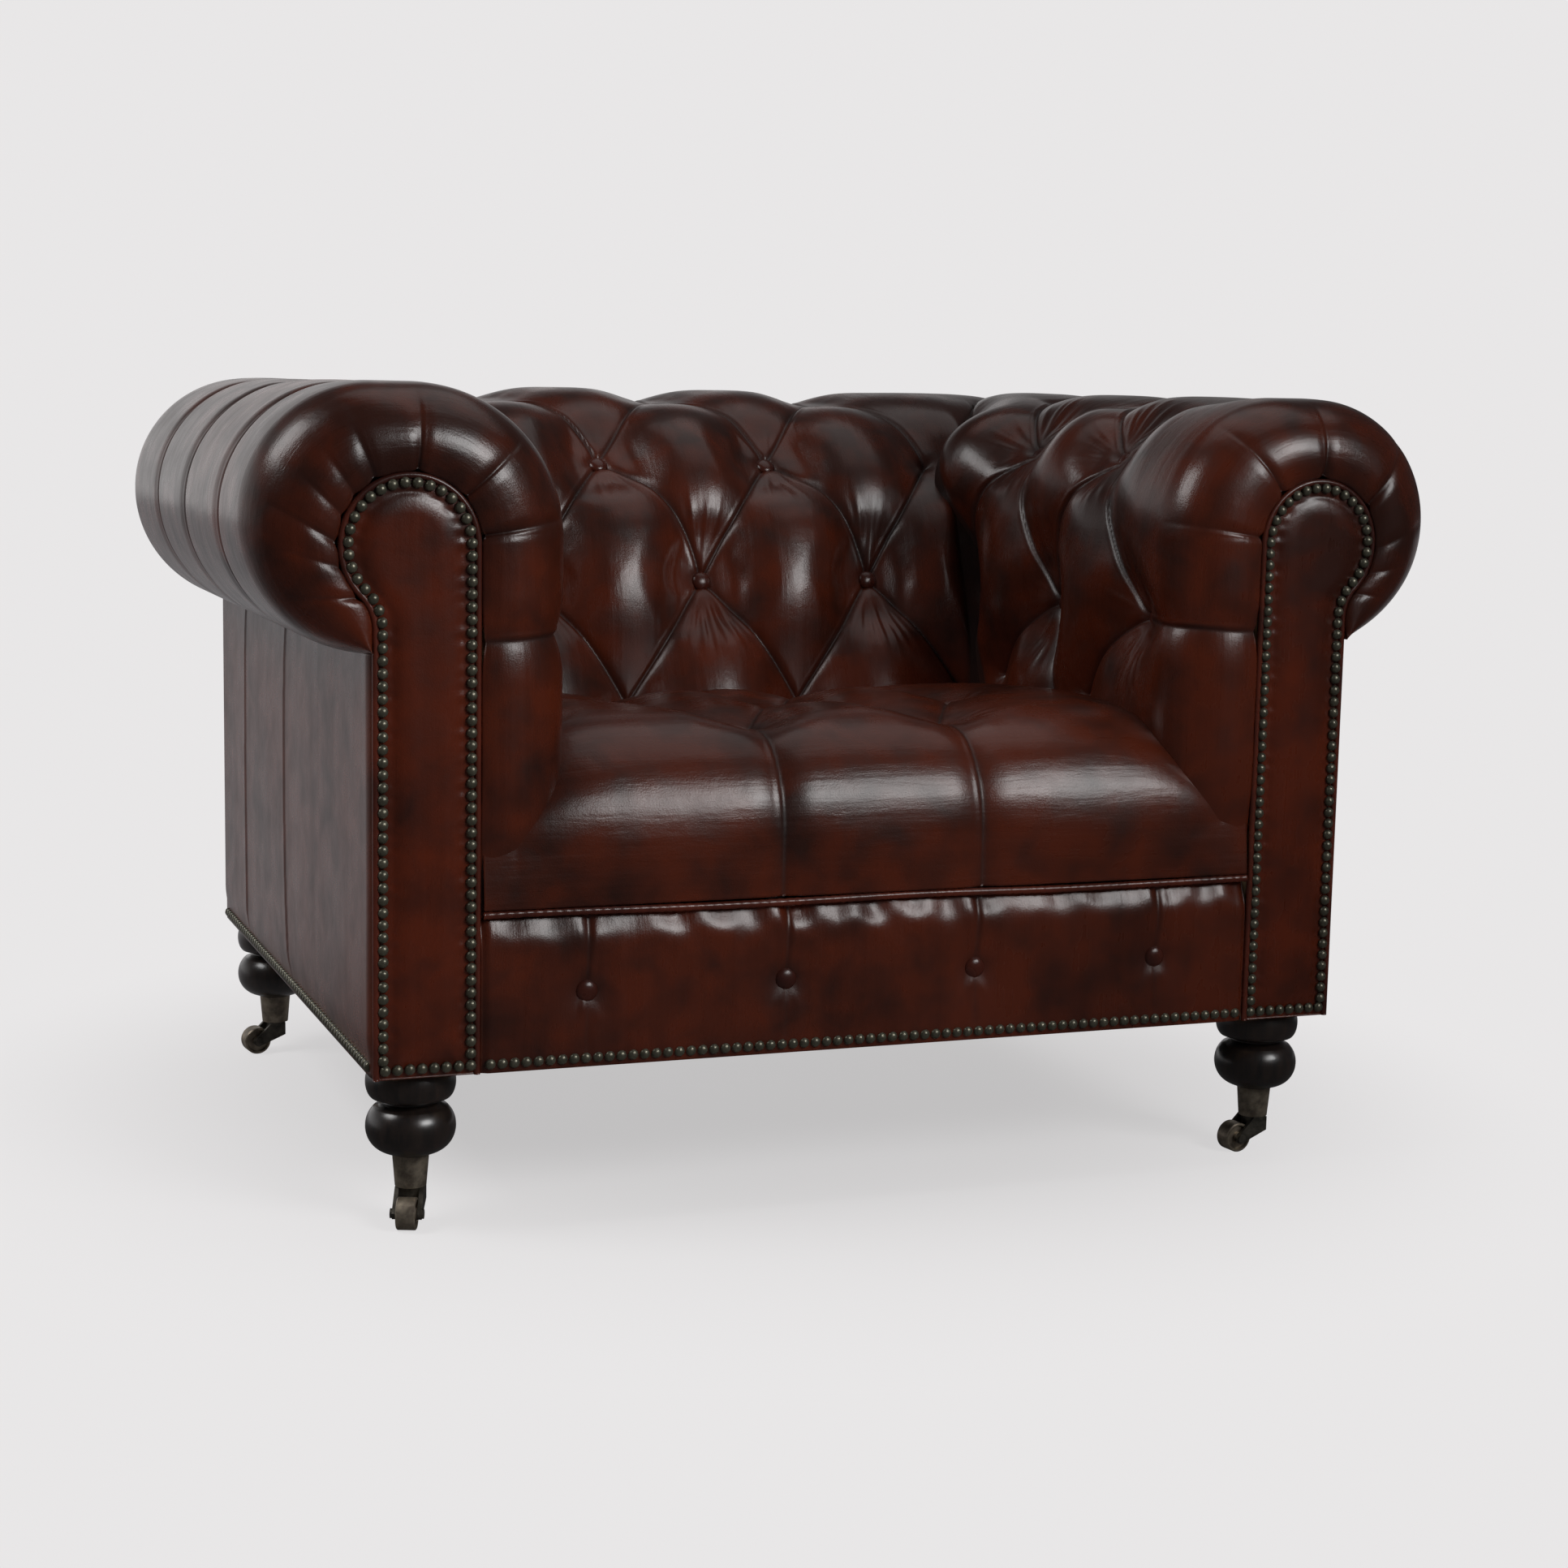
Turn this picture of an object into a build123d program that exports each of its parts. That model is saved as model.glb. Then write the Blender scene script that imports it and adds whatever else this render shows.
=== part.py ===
from build123d import *
import os
from math import acos, asin, cos, degrees, radians, sin, sqrt, tan

# Deep buttoned armchair with rolled arms and back, on bun feet with brass castors.
# Millimetres, +Z up, the chair faces -Y, left is -X, floor at z = 0.

# Overall form
overall_width = 1184
overall_depth = 906
overall_height = 763
arm_width = 285
seat_height = 462
roll_radius = 116
roll_overhang = 103
corner_radius = 200
arm_shoulder_radius = 133
back_shoulder_radius = 230
back_lean = 20
border_height = 141
nose_radius = 105
seat_crown = 8
seat_fall = 22

# Thickness of the padded layers
arm_padding = 45
roll_padding = 73
band_width = 66
band_depth = 60
band_proud = 6
facing_thickness = 12
facing_width = 98
facing_top_drop = 73
facing_head_radius = 64
facing_neck_radius = 40
border_thickness = 19
panel_thickness = 5
welt_diameter = 8
facing_welt_diameter = 6

# Buttons and pleats
button_radius = 11
button_height = 6
button_depth = 34
dimple_radius = 44
pleat_width = 30
pleat_depth = 15
pleat_step = 45
roll_pleat_angle = 165
back_button_pitch = 200
back_lower_row_z = 566
back_upper_row_angle = 49
arm_button_pitch = 208
arm_lower_row_z = 544
arm_upper_row_angle = 46
arm_first_lower = 120
arm_first_upper = 256
seat_button_pitch = 200
seat_first_row = 112
seat_row_step = 192
border_button_pitch = 194
border_dimple_depth = 9

# Timber frame and suspension
rail_thickness = 28
post_depth = 34
rear_post_depth = 64
head_slope = 40
top_rail_depth = 85
tack_rail_height = 45
tack_rail_thickness = 25
block_length = 70
block_height = 70
webbing_thickness = 2.5
webbing_width = 50
spring_wire = 5
spring_count = 5
spring_spacing = 100
spring_loops = 14
spring_half_width = 26
clip_plate = 1.5
clip_width = 18
dust_cover_thickness = 1.5

# Nails
nail_diameter = 9.5
nail_height = 3.6
nail_pitch = 11.2
nail_inset = 9
nail_shank_diameter = 1.6
nail_shank_length = 4.5

# Feet and castors
wheel_diameter = 30
wheel_width = 18
wheel_side_play = 0.5
trail = 23
cheek_thickness = 4
boss_height = 14
boss_lift = 6.5
swivel_gap = 0.3
running_fit = 0.05
pin_diameter = 8
pin_flange_diameter = 13
axle_diameter = 5
cup_height = 30
cup_wall = 2
cup_top_diameter = 34
cup_bottom_diameter = 29
foot_height = 84
foot_diameter = 83
foot_groove_diameter = 60
foot_edge_gap = 0.5
bolt_diameter = 8
bolt_length = 80
front_foot_setback = 56
castor_headings = {"front_left": 249, "front_right": 187, "rear_left": 187, "rear_right": 205}

# Levels and planes that follow from the sizes above
half_width = overall_width / 2
front_y = -overall_depth / 2
rear_y = overall_depth / 2
facing_y = front_y + band_proud
panel_x = half_width - roll_overhang
panel_y = rear_y - roll_overhang
inner_x = half_width - arm_width
roll_x = half_width - roll_radius
roll_y = rear_y - roll_radius
roll_z = overall_height - roll_radius
turn_x = half_width - corner_radius
turn_y = rear_y - corner_radius
shoulder_x = inner_x + arm_shoulder_radius
shoulder_z = overall_height - arm_shoulder_radius
back_shoulder_y = turn_y + shoulder_x - turn_x
back_shoulder_z = overall_height - back_shoulder_radius

wheel_radius = wheel_diameter / 2
boss_bottom = wheel_radius + boss_lift
boss_top = boss_bottom + boss_height
cup_bottom = boss_top + swivel_gap
cup_top = cup_bottom + cup_height
body_bottom = cup_top + foot_height
timber_bottom = body_bottom + dust_cover_thickness
border_top = body_bottom + border_height
pad_bottom = border_top
seat_base = border_top + welt_diameter
spring_z = border_top + welt_diameter / 2

core_x = inner_x + arm_padding
frame_in_x = core_x + webbing_thickness
frame_out_x = panel_x - panel_thickness
rail_in_x = frame_out_x - rail_thickness
head_z = overall_height - roll_padding
facing_in_x = panel_x - facing_width
facing_back_y = facing_y + facing_thickness
post_back_y = facing_back_y + post_depth
frame_rear_y = panel_y - panel_thickness
rail_front_y = frame_rear_y - rail_thickness
rear_post_back_y = turn_y + rear_post_depth
front_rail_y = facing_y + border_thickness
foot_x = frame_out_x - foot_diameter / 2 - foot_edge_gap
front_foot_y = facing_y + front_foot_setback
rear_foot_y = frame_rear_y - foot_diameter / 2 - foot_edge_gap


def on_circle(centre_u, centre_v, radius, angle):
    """Point of a circle in a section plane, the angle in degrees from the first axis."""
    turn = radians(angle)
    return (centre_u + radius * cos(turn), centre_v + radius * sin(turn))


def outline(place, start, steps, close=True):
    """Wire through lines (one point) and arcs (a middle and an end point), placed in space by place(u, v)."""
    edges = []
    here = start
    for step in steps:
        if len(step) == 1:
            edges.append(Line(place(*here), place(*step[0])))
        else:
            edges.append(ThreePointArc(place(*here), place(*step[0]), place(*step[1])))
        here = step[-1]
    if close:
        edges.append(Line(place(*here), place(*start)))
    return Wire(edges)


def across(y):
    """Section plane across the chair from side to side at one depth."""
    return lambda u, v: (u, y, v)


def along(x):
    """Section plane from front to back at one distance from the middle."""
    return lambda u, v: (x, u, v)


def prism(wire, direction):
    """Solid that a closed wire sweeps along a straight direction."""
    return Solid.extrude(Face(wire), Vector(*direction))


def box(x0, x1, y0, y1, z0, z1):
    """Box between two corners."""
    size = Box(x1 - x0, y1 - y0, z1 - z0)
    return Pos((x0 + x1) / 2, (y0 + y1) / 2, (z0 + z1) / 2) * size


def mirrored(shape):
    """The same piece on the left of the chair."""
    return mirror(shape, about=Plane.YZ)


def roll_steps(centre_u, edge_u, inset):
    """Steps over a roll, from its top to where its underside meets the outside panel."""
    radius = roll_radius - inset
    low = -degrees(acos((edge_u - centre_u) / radius))
    outer = (on_circle(centre_u, roll_z, radius, 45), (centre_u + radius, roll_z))
    under = (on_circle(centre_u, roll_z, radius, low / 2), on_circle(centre_u, roll_z, radius, low))
    return [outer, under]


def arm_section(y, inset):
    """Outside of a padded right arm drawn in by an inset."""
    radius = arm_shoulder_radius - inset
    top = overall_height - inset
    steps = [((inner_x + inset, shoulder_z),)]
    steps += [(on_circle(shoulder_x, shoulder_z, radius, 135), (shoulder_x, top)), ((roll_x, top),)]
    steps += roll_steps(roll_x, panel_x, inset)
    steps += [((panel_x, pad_bottom),)]
    return outline(across(y), (inner_x + inset, pad_bottom), steps)


def turn_section(place, turn_u, shoulder_u, roll_u, panel_u):
    """Part of the roll outside the axis that the rear corner turns about."""
    start_angle = 180 - degrees(acos((shoulder_u - turn_u) / arm_shoulder_radius))
    start = on_circle(shoulder_u, shoulder_z, arm_shoulder_radius, start_angle)
    middle = on_circle(shoulder_u, shoulder_z, arm_shoulder_radius, (start_angle + 90) / 2)
    steps = [(start,), (middle, (shoulder_u, overall_height)), ((roll_u, overall_height),)]
    steps += roll_steps(roll_u, panel_u, 0)
    steps += [((panel_u, pad_bottom),)]
    return outline(place, (turn_u, pad_bottom), steps)


def turn_void(place, turn_u, panel_u):
    """Room for the timber inside the rear corner."""
    steps = [((turn_u, head_z),), ((panel_u - head_slope, head_z),)]
    steps += [((panel_u, head_z - head_slope),), ((panel_u, pad_bottom - 1),)]
    return outline(place, (turn_u, pad_bottom - 1), steps)


def turned(wire, angle):
    """Solid that a section sweeps about the upright axis of the right rear corner."""
    return Solid.revolve(Face(wire), angle, Axis((turn_x, turn_y, 0), (0, 0, 1)))


def padded_surface(place, lean, shoulder_u, shoulder_v, radius, roll_u):
    """Gives surface(t, s): point and normal at t along a piece and s above the foot of its shoulder."""
    arc = radius * radians(90 - lean)
    flat = roll_u - shoulder_u

    def surface(t, s):
        if s < 0:
            angle = 180 - lean
            u, v = on_circle(shoulder_u, shoulder_v, radius, angle)
            u += s * sin(radians(lean))
            v += s * cos(radians(lean))
        elif s < arc:
            angle = 180 - lean - degrees(s / radius)
            u, v = on_circle(shoulder_u, shoulder_v, radius, angle)
        elif s < arc + flat:
            angle = 90
            u, v = shoulder_u + s - arc, shoulder_v + radius
        else:
            angle = 90 - degrees((s - arc - flat) / roll_radius)
            u, v = on_circle(roll_u, roll_z, roll_radius, angle)
        normal = on_circle(0, 0, 1, angle)
        return Vector(*place(t, u, v)), Vector(*place(0, *normal))

    return surface


def pleat(surface, start, end):
    """Cutter for a sewn pleat between two places (t, s) of a padded surface."""
    count = 2 + int(abs(end[1] - start[1]) / pleat_step)
    shares = [i / (count - 1) for i in range(count)]
    run_t = end[0] - start[0]
    run_s = end[1] - start[1]
    spots = [surface(start[0] + run_t * k, start[1] + run_s * k) for k in shares]
    sections = []
    for i, (point, normal) in enumerate(spots):
        course = spots[min(i + 1, count - 1)][0] - spots[max(i - 1, 0)][0]
        side = course.cross(normal).normalized() * (pleat_width / 2)
        lifted = point + normal * pleat_depth / 2
        sections.append(Wire.make_polygon([lifted + side, lifted - side, point - normal * pleat_depth]))
    return Solid.make_loft(sections, True)


def dimple(point, normal, depth, radius):
    """Cutter for the pit that a button pulls into the padding."""
    floor = Plane(origin=point - normal * depth, z_dir=normal)
    flat = button_radius + 1
    reach = depth * 1.25
    return Solid.make_cone(flat, flat + (radius - flat) * 1.25, reach, floor)


def domed(radius, rim, height):
    """Round piece with a low straight rim under a spherical cap, standing on the floor of its own axes."""
    rise = height - rim
    ball = (radius**2 + rise**2) / (2 * rise)
    half_angle = 90 - degrees(asin(radius / ball)) / 2
    steps = [((radius, 0),), ((radius, rim),), (on_circle(0, height - ball, ball, half_angle), (0, height))]
    return Solid.revolve(Face(outline(across(0), (0, 0), steps)), 360, Axis.Z)


def button(point, normal, depth):
    """Covered button that sits on the floor of its pit."""
    seat = Plane(origin=point - normal * depth, z_dir=normal)
    return seat.location * domed(button_radius, button_height / 3, button_height)


def cut_each(shape, tools):
    """Shape less each cutter in turn."""
    for tool in tools:
        shape = shape - tool
    return shape


# Padded right arm: rounded front band, straight arm and half of the rear corner
band_angles = (78, 60, 42, 22, 0)
band_sections = []
for angle in band_angles:
    inset = band_width * (1 - cos(radians(angle)))
    section_y = front_y + band_depth * (1 - sin(radians(angle)) / sin(radians(band_angles[0])))
    band_sections.append(arm_section(section_y, inset))
arm_front = Solid.make_loft(band_sections, True)
straight_y = front_y + band_depth
arm_straight = prism(arm_section(straight_y, 0), (0, turn_y - straight_y, 0))
arm_turn = turned(turn_section(across(turn_y), turn_x, shoulder_x, roll_x, panel_x), 45)
arm_body = arm_front + arm_straight + arm_turn

arm_void_steps = [((core_x, head_z - head_slope),), ((core_x + head_slope, head_z),)]
arm_void_steps += [((panel_x - head_slope, head_z),), ((panel_x, head_z - head_slope),)]
arm_void_steps += [((panel_x, pad_bottom - 1),)]
arm_void_wire = outline(across(facing_back_y), (core_x, pad_bottom - 1), arm_void_steps)
arm_void = prism(arm_void_wire, (0, turn_y - facing_back_y, 0))
arm_turn_void = turned(turn_void(across(turn_y), turn_x, panel_x), 45)

# Keyhole facing on the front of the right arm, its welt and the recess that takes both
head_x = facing_in_x + facing_head_radius
head_centre_z = overall_height - facing_top_drop - facing_head_radius
neck_x = panel_x + facing_neck_radius
neck_reach = facing_head_radius + facing_neck_radius
neck_z = head_centre_z - sqrt(neck_reach**2 - (neck_x - head_x) ** 2)
neck_angle = -degrees(acos((neck_x - head_x) / neck_reach))


def facing_steps(inset):
    """Steps up the inner edge of a facing, round its head and down its outer edge."""
    radius = facing_head_radius - inset
    neck = facing_neck_radius + inset
    steps = [((facing_in_x + inset, head_centre_z),)]
    for middle, end in ((135, 90), (45, 0), (neck_angle / 2, neck_angle)):
        through = on_circle(head_x, head_centre_z, radius, middle)
        steps.append((through, on_circle(head_x, head_centre_z, radius, end)))
    turn_angle = 180 + neck_angle / 2
    steps.append((on_circle(neck_x, neck_z, neck, turn_angle), (panel_x - inset, neck_z)))
    return steps


def facing_outline(y, inset, bottom, close=True):
    """Keyhole line of a facing at one inset from its edge."""
    steps = facing_steps(inset) + [((panel_x - inset, bottom),)]
    return outline(across(y), (facing_in_x + inset, bottom), steps, close)


facing_recess = prism(facing_outline(front_y - 1, 0, body_bottom - 1), (0, facing_back_y - front_y + 1, 0))
facing_board = prism(facing_outline(facing_y, facing_welt_diameter, body_bottom), (0, facing_thickness, 0))
welt_path = facing_outline(facing_y + facing_welt_diameter / 2, facing_welt_diameter / 2, body_bottom, False)
welt_plane = Plane(origin=welt_path.position_at(0), z_dir=welt_path.tangent_at(0))
facing_welt = sweep(welt_plane * Circle(facing_welt_diameter / 2), path=welt_path)

# Buttons and pleats of the right arm
arm_surface = padded_surface(lambda t, u, v: (u, t, v), 0, shoulder_x, shoulder_z, arm_shoulder_radius, roll_x)
arm_half = arm_button_pitch / 2
arm_foot_s = pad_bottom - shoulder_z
arm_lower_s = arm_lower_row_z - shoulder_z
arm_upper_s = arm_shoulder_radius * radians(arm_upper_row_angle)
arm_crest_s = arm_shoulder_radius * radians(90)
arm_end_s = arm_crest_s + roll_x - shoulder_x + roll_radius * radians(roll_pleat_angle)
arm_lower_y = [facing_y + arm_first_lower + i * arm_button_pitch for i in range(2)]
arm_upper_y = [facing_y + arm_first_upper + i * arm_button_pitch for i in range(2)]
arm_crests = [arm_upper_y[0] - arm_half, arm_upper_y[0] + arm_half, arm_upper_y[1] + arm_half]
arm_courses = [((arm_lower_y[0], arm_lower_s), (straight_y, arm_lower_s))]
for y in arm_lower_y:
    arm_courses += [((y, arm_lower_s), (y + side * arm_half, arm_foot_s)) for side in (-1, 1)]
for y in arm_upper_y:
    arm_courses += [((y, arm_upper_s), (y + side * arm_half, arm_crest_s)) for side in (-1, 1)]
for lower, upper in ((0, 0), (1, 0), (1, 1)):
    arm_courses.append(((arm_lower_y[lower], arm_lower_s), (arm_upper_y[upper], arm_upper_s)))
arm_courses += [((y, arm_crest_s), (y, arm_end_s)) for y in arm_crests]
arm_button_seats = [arm_surface(y, arm_lower_s) for y in arm_lower_y]
arm_button_seats += [arm_surface(y, arm_upper_s) for y in arm_upper_y]
arm_tools = [pleat(arm_surface, *course) for course in arm_courses]
arm_tools += [dimple(point, normal, button_depth, dimple_radius) for point, normal in arm_button_seats]
arm_pad = arm_body - arm_void - arm_turn_void - facing_recess
arm_pad = cut_each(arm_pad, arm_tools)
arm_buttons = [button(point, normal, button_depth) for point, normal in arm_button_seats]

# Padded back between the arms, with the other half of each rear corner
lean_top = on_circle(back_shoulder_y, back_shoulder_z, back_shoulder_radius, 180 - back_lean)


def lean_y(z):
    """Depth of the leaning inside back at one height below its shoulder."""
    return lean_top[0] - (lean_top[1] - z) * tan(radians(back_lean))


shoulder_mid = on_circle(back_shoulder_y, back_shoulder_z, back_shoulder_radius, (180 - back_lean + 90) / 2)
back_steps = [(lean_top,), (shoulder_mid, (back_shoulder_y, overall_height)), ((roll_y, overall_height),)]
back_steps += roll_steps(roll_y, panel_y, 0)
back_steps += [((panel_y, seat_base),)]
back_wire = outline(along(-turn_x), (lean_y(seat_base), seat_base), back_steps)
back_straight = prism(back_wire, (2 * turn_x, 0, 0))
back_turn_wire = turn_section(along(turn_x), turn_y, back_shoulder_y, roll_y, panel_y)
back_turn = turned(back_turn_wire, -45)
back_void_steps = [((turn_y, head_z),), ((panel_y - head_slope, head_z),)]
back_void_steps += [((panel_y, head_z - head_slope),), ((panel_y, pad_bottom - 1),)]
back_void_wire = outline(along(-turn_x), (turn_y, pad_bottom - 1), back_void_steps)
back_void = prism(back_void_wire, (2 * turn_x, 0, 0))
back_turn_void = turned(turn_void(along(turn_x), turn_y, panel_y), -45)

# Buttons and pleats of the back
back_surface = padded_surface(lambda t, u, v: (t, u, v), back_lean, back_shoulder_y, back_shoulder_z,
                              back_shoulder_radius, roll_y)
back_half = back_button_pitch / 2
back_foot_s = (pad_bottom - lean_top[1]) / cos(radians(back_lean))
back_lower_s = (back_lower_row_z - lean_top[1]) / cos(radians(back_lean))
back_upper_s = back_shoulder_radius * radians(back_upper_row_angle - back_lean)
back_crest_s = back_shoulder_radius * radians(90 - back_lean)
back_end_s = back_crest_s + roll_y - back_shoulder_y + roll_radius * radians(roll_pleat_angle)
back_lower_x = [-back_button_pitch, 0, back_button_pitch]
back_upper_x = [-back_half, back_half]
back_courses = [((x, back_crest_s), (x, back_end_s)) for x in back_lower_x]
for x in back_lower_x:
    back_courses += [((x, back_lower_s), (x + side * back_half, back_foot_s)) for side in (-1, 1)]
for x in back_upper_x:
    for side in (-1, 1):
        back_courses.append(((x, back_upper_s), (x + side * back_half, back_crest_s)))
        back_courses.append(((x, back_upper_s), (x + side * back_half, back_lower_s)))
back_button_seats = [back_surface(x, back_lower_s) for x in back_lower_x]
back_button_seats += [back_surface(x, back_upper_s) for x in back_upper_x]
back_tools = [pleat(back_surface, *course) for course in back_courses]
back_tools += [dimple(point, normal, button_depth, dimple_radius) for point, normal in back_button_seats]
back_pad = back_straight + back_turn + mirrored(back_turn)
back_pad = back_pad - back_void - back_turn_void - mirrored(back_turn_void)
back_pad = back_pad - arm_body - mirrored(arm_body)
back_pad = cut_each(back_pad, back_tools)
back_buttons = [button(point, normal, button_depth) for point, normal in back_button_seats]

# Sprung seat with a rounded nose, cut to the arms and the back that hold it
seat_front_y = facing_y - band_proud / 3
seat_rear_z = seat_height - seat_fall
seat_rear_y = lean_y(seat_rear_z)
nose_y = seat_front_y + nose_radius
nose_z = seat_height - nose_radius
crown_point = ((nose_y + seat_rear_y) / 2, seat_height - seat_fall / 2 + seat_crown)
seat_steps = [((seat_front_y, nose_z),)]
seat_steps += [(on_circle(nose_y, nose_z, nose_radius, 135), (nose_y, seat_height))]
seat_steps += [(crown_point, (seat_rear_y, seat_rear_z)), ((seat_rear_y, seat_base),)]
seat_half = inner_x + arm_padding / 2
seat_block = prism(outline(along(-seat_half), (seat_front_y, seat_base), seat_steps), (2 * seat_half, 0, 0))
nose_edge_z = nose_z + sqrt(nose_radius**2 - (nose_y - facing_back_y) ** 2)
nose_mid_angle = 180 - degrees(asin((nose_edge_z - nose_z) / nose_radius)) / 2
wing_steps = [((seat_front_y, nose_z),)]
wing_steps += [(on_circle(nose_y, nose_z, nose_radius, nose_mid_angle), (facing_back_y, nose_edge_z))]
wing_steps += [((facing_back_y, seat_base),)]
wing_wire = outline(along(-facing_in_x), (seat_front_y, seat_base), wing_steps)
seat_wings = prism(wing_wire, (2 * facing_in_x, 0, 0))

seat_surface = padded_surface(lambda t, u, v: (t, u, v), 0, nose_y, nose_z, nose_radius, panel_y)
seat_half_pitch = seat_button_pitch / 2
seat_nose_s = nose_radius * radians(90)
seat_front_s = seat_nose_s + facing_y + seat_first_row - nose_y
seat_second_s = seat_front_s + seat_row_step
seat_last_s = seat_nose_s + seat_rear_y - nose_y
seat_front_x = [-seat_half_pitch, seat_half_pitch]
seat_second_x = [-seat_button_pitch, 0, seat_button_pitch]
seat_courses = [((x, seat_front_s), (x, seat_base - nose_z)) for x in seat_front_x]
for x in seat_front_x:
    for side in (-1, 1):
        seat_courses.append(((x, seat_front_s), (x + side * seat_half_pitch, seat_second_s)))
        seat_courses.append(((x + side * seat_half_pitch, seat_second_s), (x, seat_last_s)))
seat_button_seats = [seat_surface(x, seat_front_s) for x in seat_front_x]
seat_button_seats += [seat_surface(x, seat_second_s) for x in seat_second_x]
seat_tools = [pleat(seat_surface, *course) for course in seat_courses]
seat_tools += [dimple(point, normal, button_depth, dimple_radius) for point, normal in seat_button_seats]
seat_pad = seat_block + seat_wings
seat_pad = seat_pad - arm_body - mirrored(arm_body) - back_straight
seat_pad = cut_each(seat_pad, seat_tools)
seat_buttons = [button(point, normal, button_depth) for point, normal in seat_button_seats]

# Buttoned border under the seat and the welt between them
border_front_y = facing_y - band_proud / 6
border = box(-facing_in_x, facing_in_x, border_front_y, front_rail_y, body_bottom, border_top)
border_mid_z = body_bottom + border_height / 2
border_x = [(i - 1.5) * border_button_pitch for i in range(4)]
border_seats = [(Vector(x, border_front_y, border_mid_z), Vector(0, -1, 0)) for x in border_x]
border_pits = [dimple(point, normal, border_dimple_depth, dimple_radius / 2) for point, normal in border_seats]
border_pad = cut_each(border, border_pits)
border_buttons = [button(point, normal, border_dimple_depth) for point, normal in border_seats]
seat_welt_y = border_front_y + welt_diameter / 2
seat_welt_plane = Plane(origin=(-facing_in_x, seat_welt_y, spring_z), z_dir=(1, 0, 0))
seat_welt = Solid.make_cylinder(welt_diameter / 2, 2 * facing_in_x, seat_welt_plane)
seat_welt = seat_welt - arm_body - mirrored(arm_body)

# Flat outside panels under the roll
panel_top = roll_z - sqrt(roll_radius**2 - (panel_x - roll_x) ** 2)
outside_arm = box(frame_out_x, panel_x, facing_back_y, frame_rear_y, body_bottom, panel_top)
outside_back = box(-panel_x, panel_x, frame_rear_y, panel_y, body_bottom, panel_top)

# Timber frame
front_rail_back_y = front_rail_y + rail_thickness
front_rail = box(-facing_in_x, facing_in_x, front_rail_y, front_rail_back_y, timber_bottom, border_top)
side_rail = box(rail_in_x, frame_out_x, post_back_y, frame_rear_y, timber_bottom, border_top)
rear_rail = box(-rail_in_x, rail_in_x, rail_front_y, frame_rear_y, timber_bottom, border_top)
post_out_z = head_z - head_slope + panel_thickness
post_steps = [((facing_in_x, pad_bottom),), ((core_x, pad_bottom),), ((core_x, head_z - head_slope),)]
post_steps += [((core_x + head_slope, head_z),), ((panel_x - head_slope, head_z),)]
post_steps += [((frame_out_x, post_out_z),), ((frame_out_x, timber_bottom),)]
front_post = prism(outline(across(facing_back_y), (facing_in_x, timber_bottom), post_steps), (0, post_depth, 0))
rear_post_top = head_z - head_slope
rear_post = box(frame_in_x, rail_in_x, turn_y, rear_post_back_y, timber_bottom, rear_post_top)
top_rail_low = head_z - top_rail_depth
top_rail_steps = [((frame_in_x, head_z - head_slope + webbing_thickness),), ((core_x + head_slope, head_z),)]
top_rail_steps += [((panel_x - head_slope, head_z),), ((panel_x - head_slope, top_rail_low),)]
top_rail_wire = outline(across(post_back_y), (frame_in_x, top_rail_low), top_rail_steps)
arm_top_rail = prism(top_rail_wire, (0, turn_y - post_back_y, 0))
back_rail_back_y = panel_y - head_slope
back_rail_front_y = turn_y + webbing_thickness
back_top_rail = box(-frame_in_x, frame_in_x, back_rail_front_y, back_rail_back_y, top_rail_low, head_z)
tack_rail_x = frame_in_x + tack_rail_thickness
tack_rail = box(frame_in_x, tack_rail_x, post_back_y, turn_y, pad_bottom, pad_bottom + tack_rail_height)
block_back_y = post_back_y + block_length
block_top = timber_bottom + block_height
corner_block = box(facing_in_x, rail_in_x, post_back_y, block_back_y, timber_bottom, block_top)

# Webbing, serpentine springs with their clips, and the dust cover
webbing_top = head_z - head_slope
arm_span = turn_y - post_back_y
arm_webbing = []
for i in range(3):
    near_y = post_back_y + arm_span * (i + 1) / 4 - webbing_width / 2
    strap = box(core_x, frame_in_x, near_y, near_y + webbing_width, pad_bottom, webbing_top)
    arm_webbing += [strap, mirrored(strap)]
back_webbing = []
back_web_step = (top_rail_low - pad_bottom) / 4
for i in range(4):
    level = pad_bottom + back_web_step * (i + 0.5)
    low = level - webbing_width / 2
    strap = box(-frame_in_x, frame_in_x, turn_y, turn_y + webbing_thickness, low, low + webbing_width)
    back_webbing.append(strap)

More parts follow.
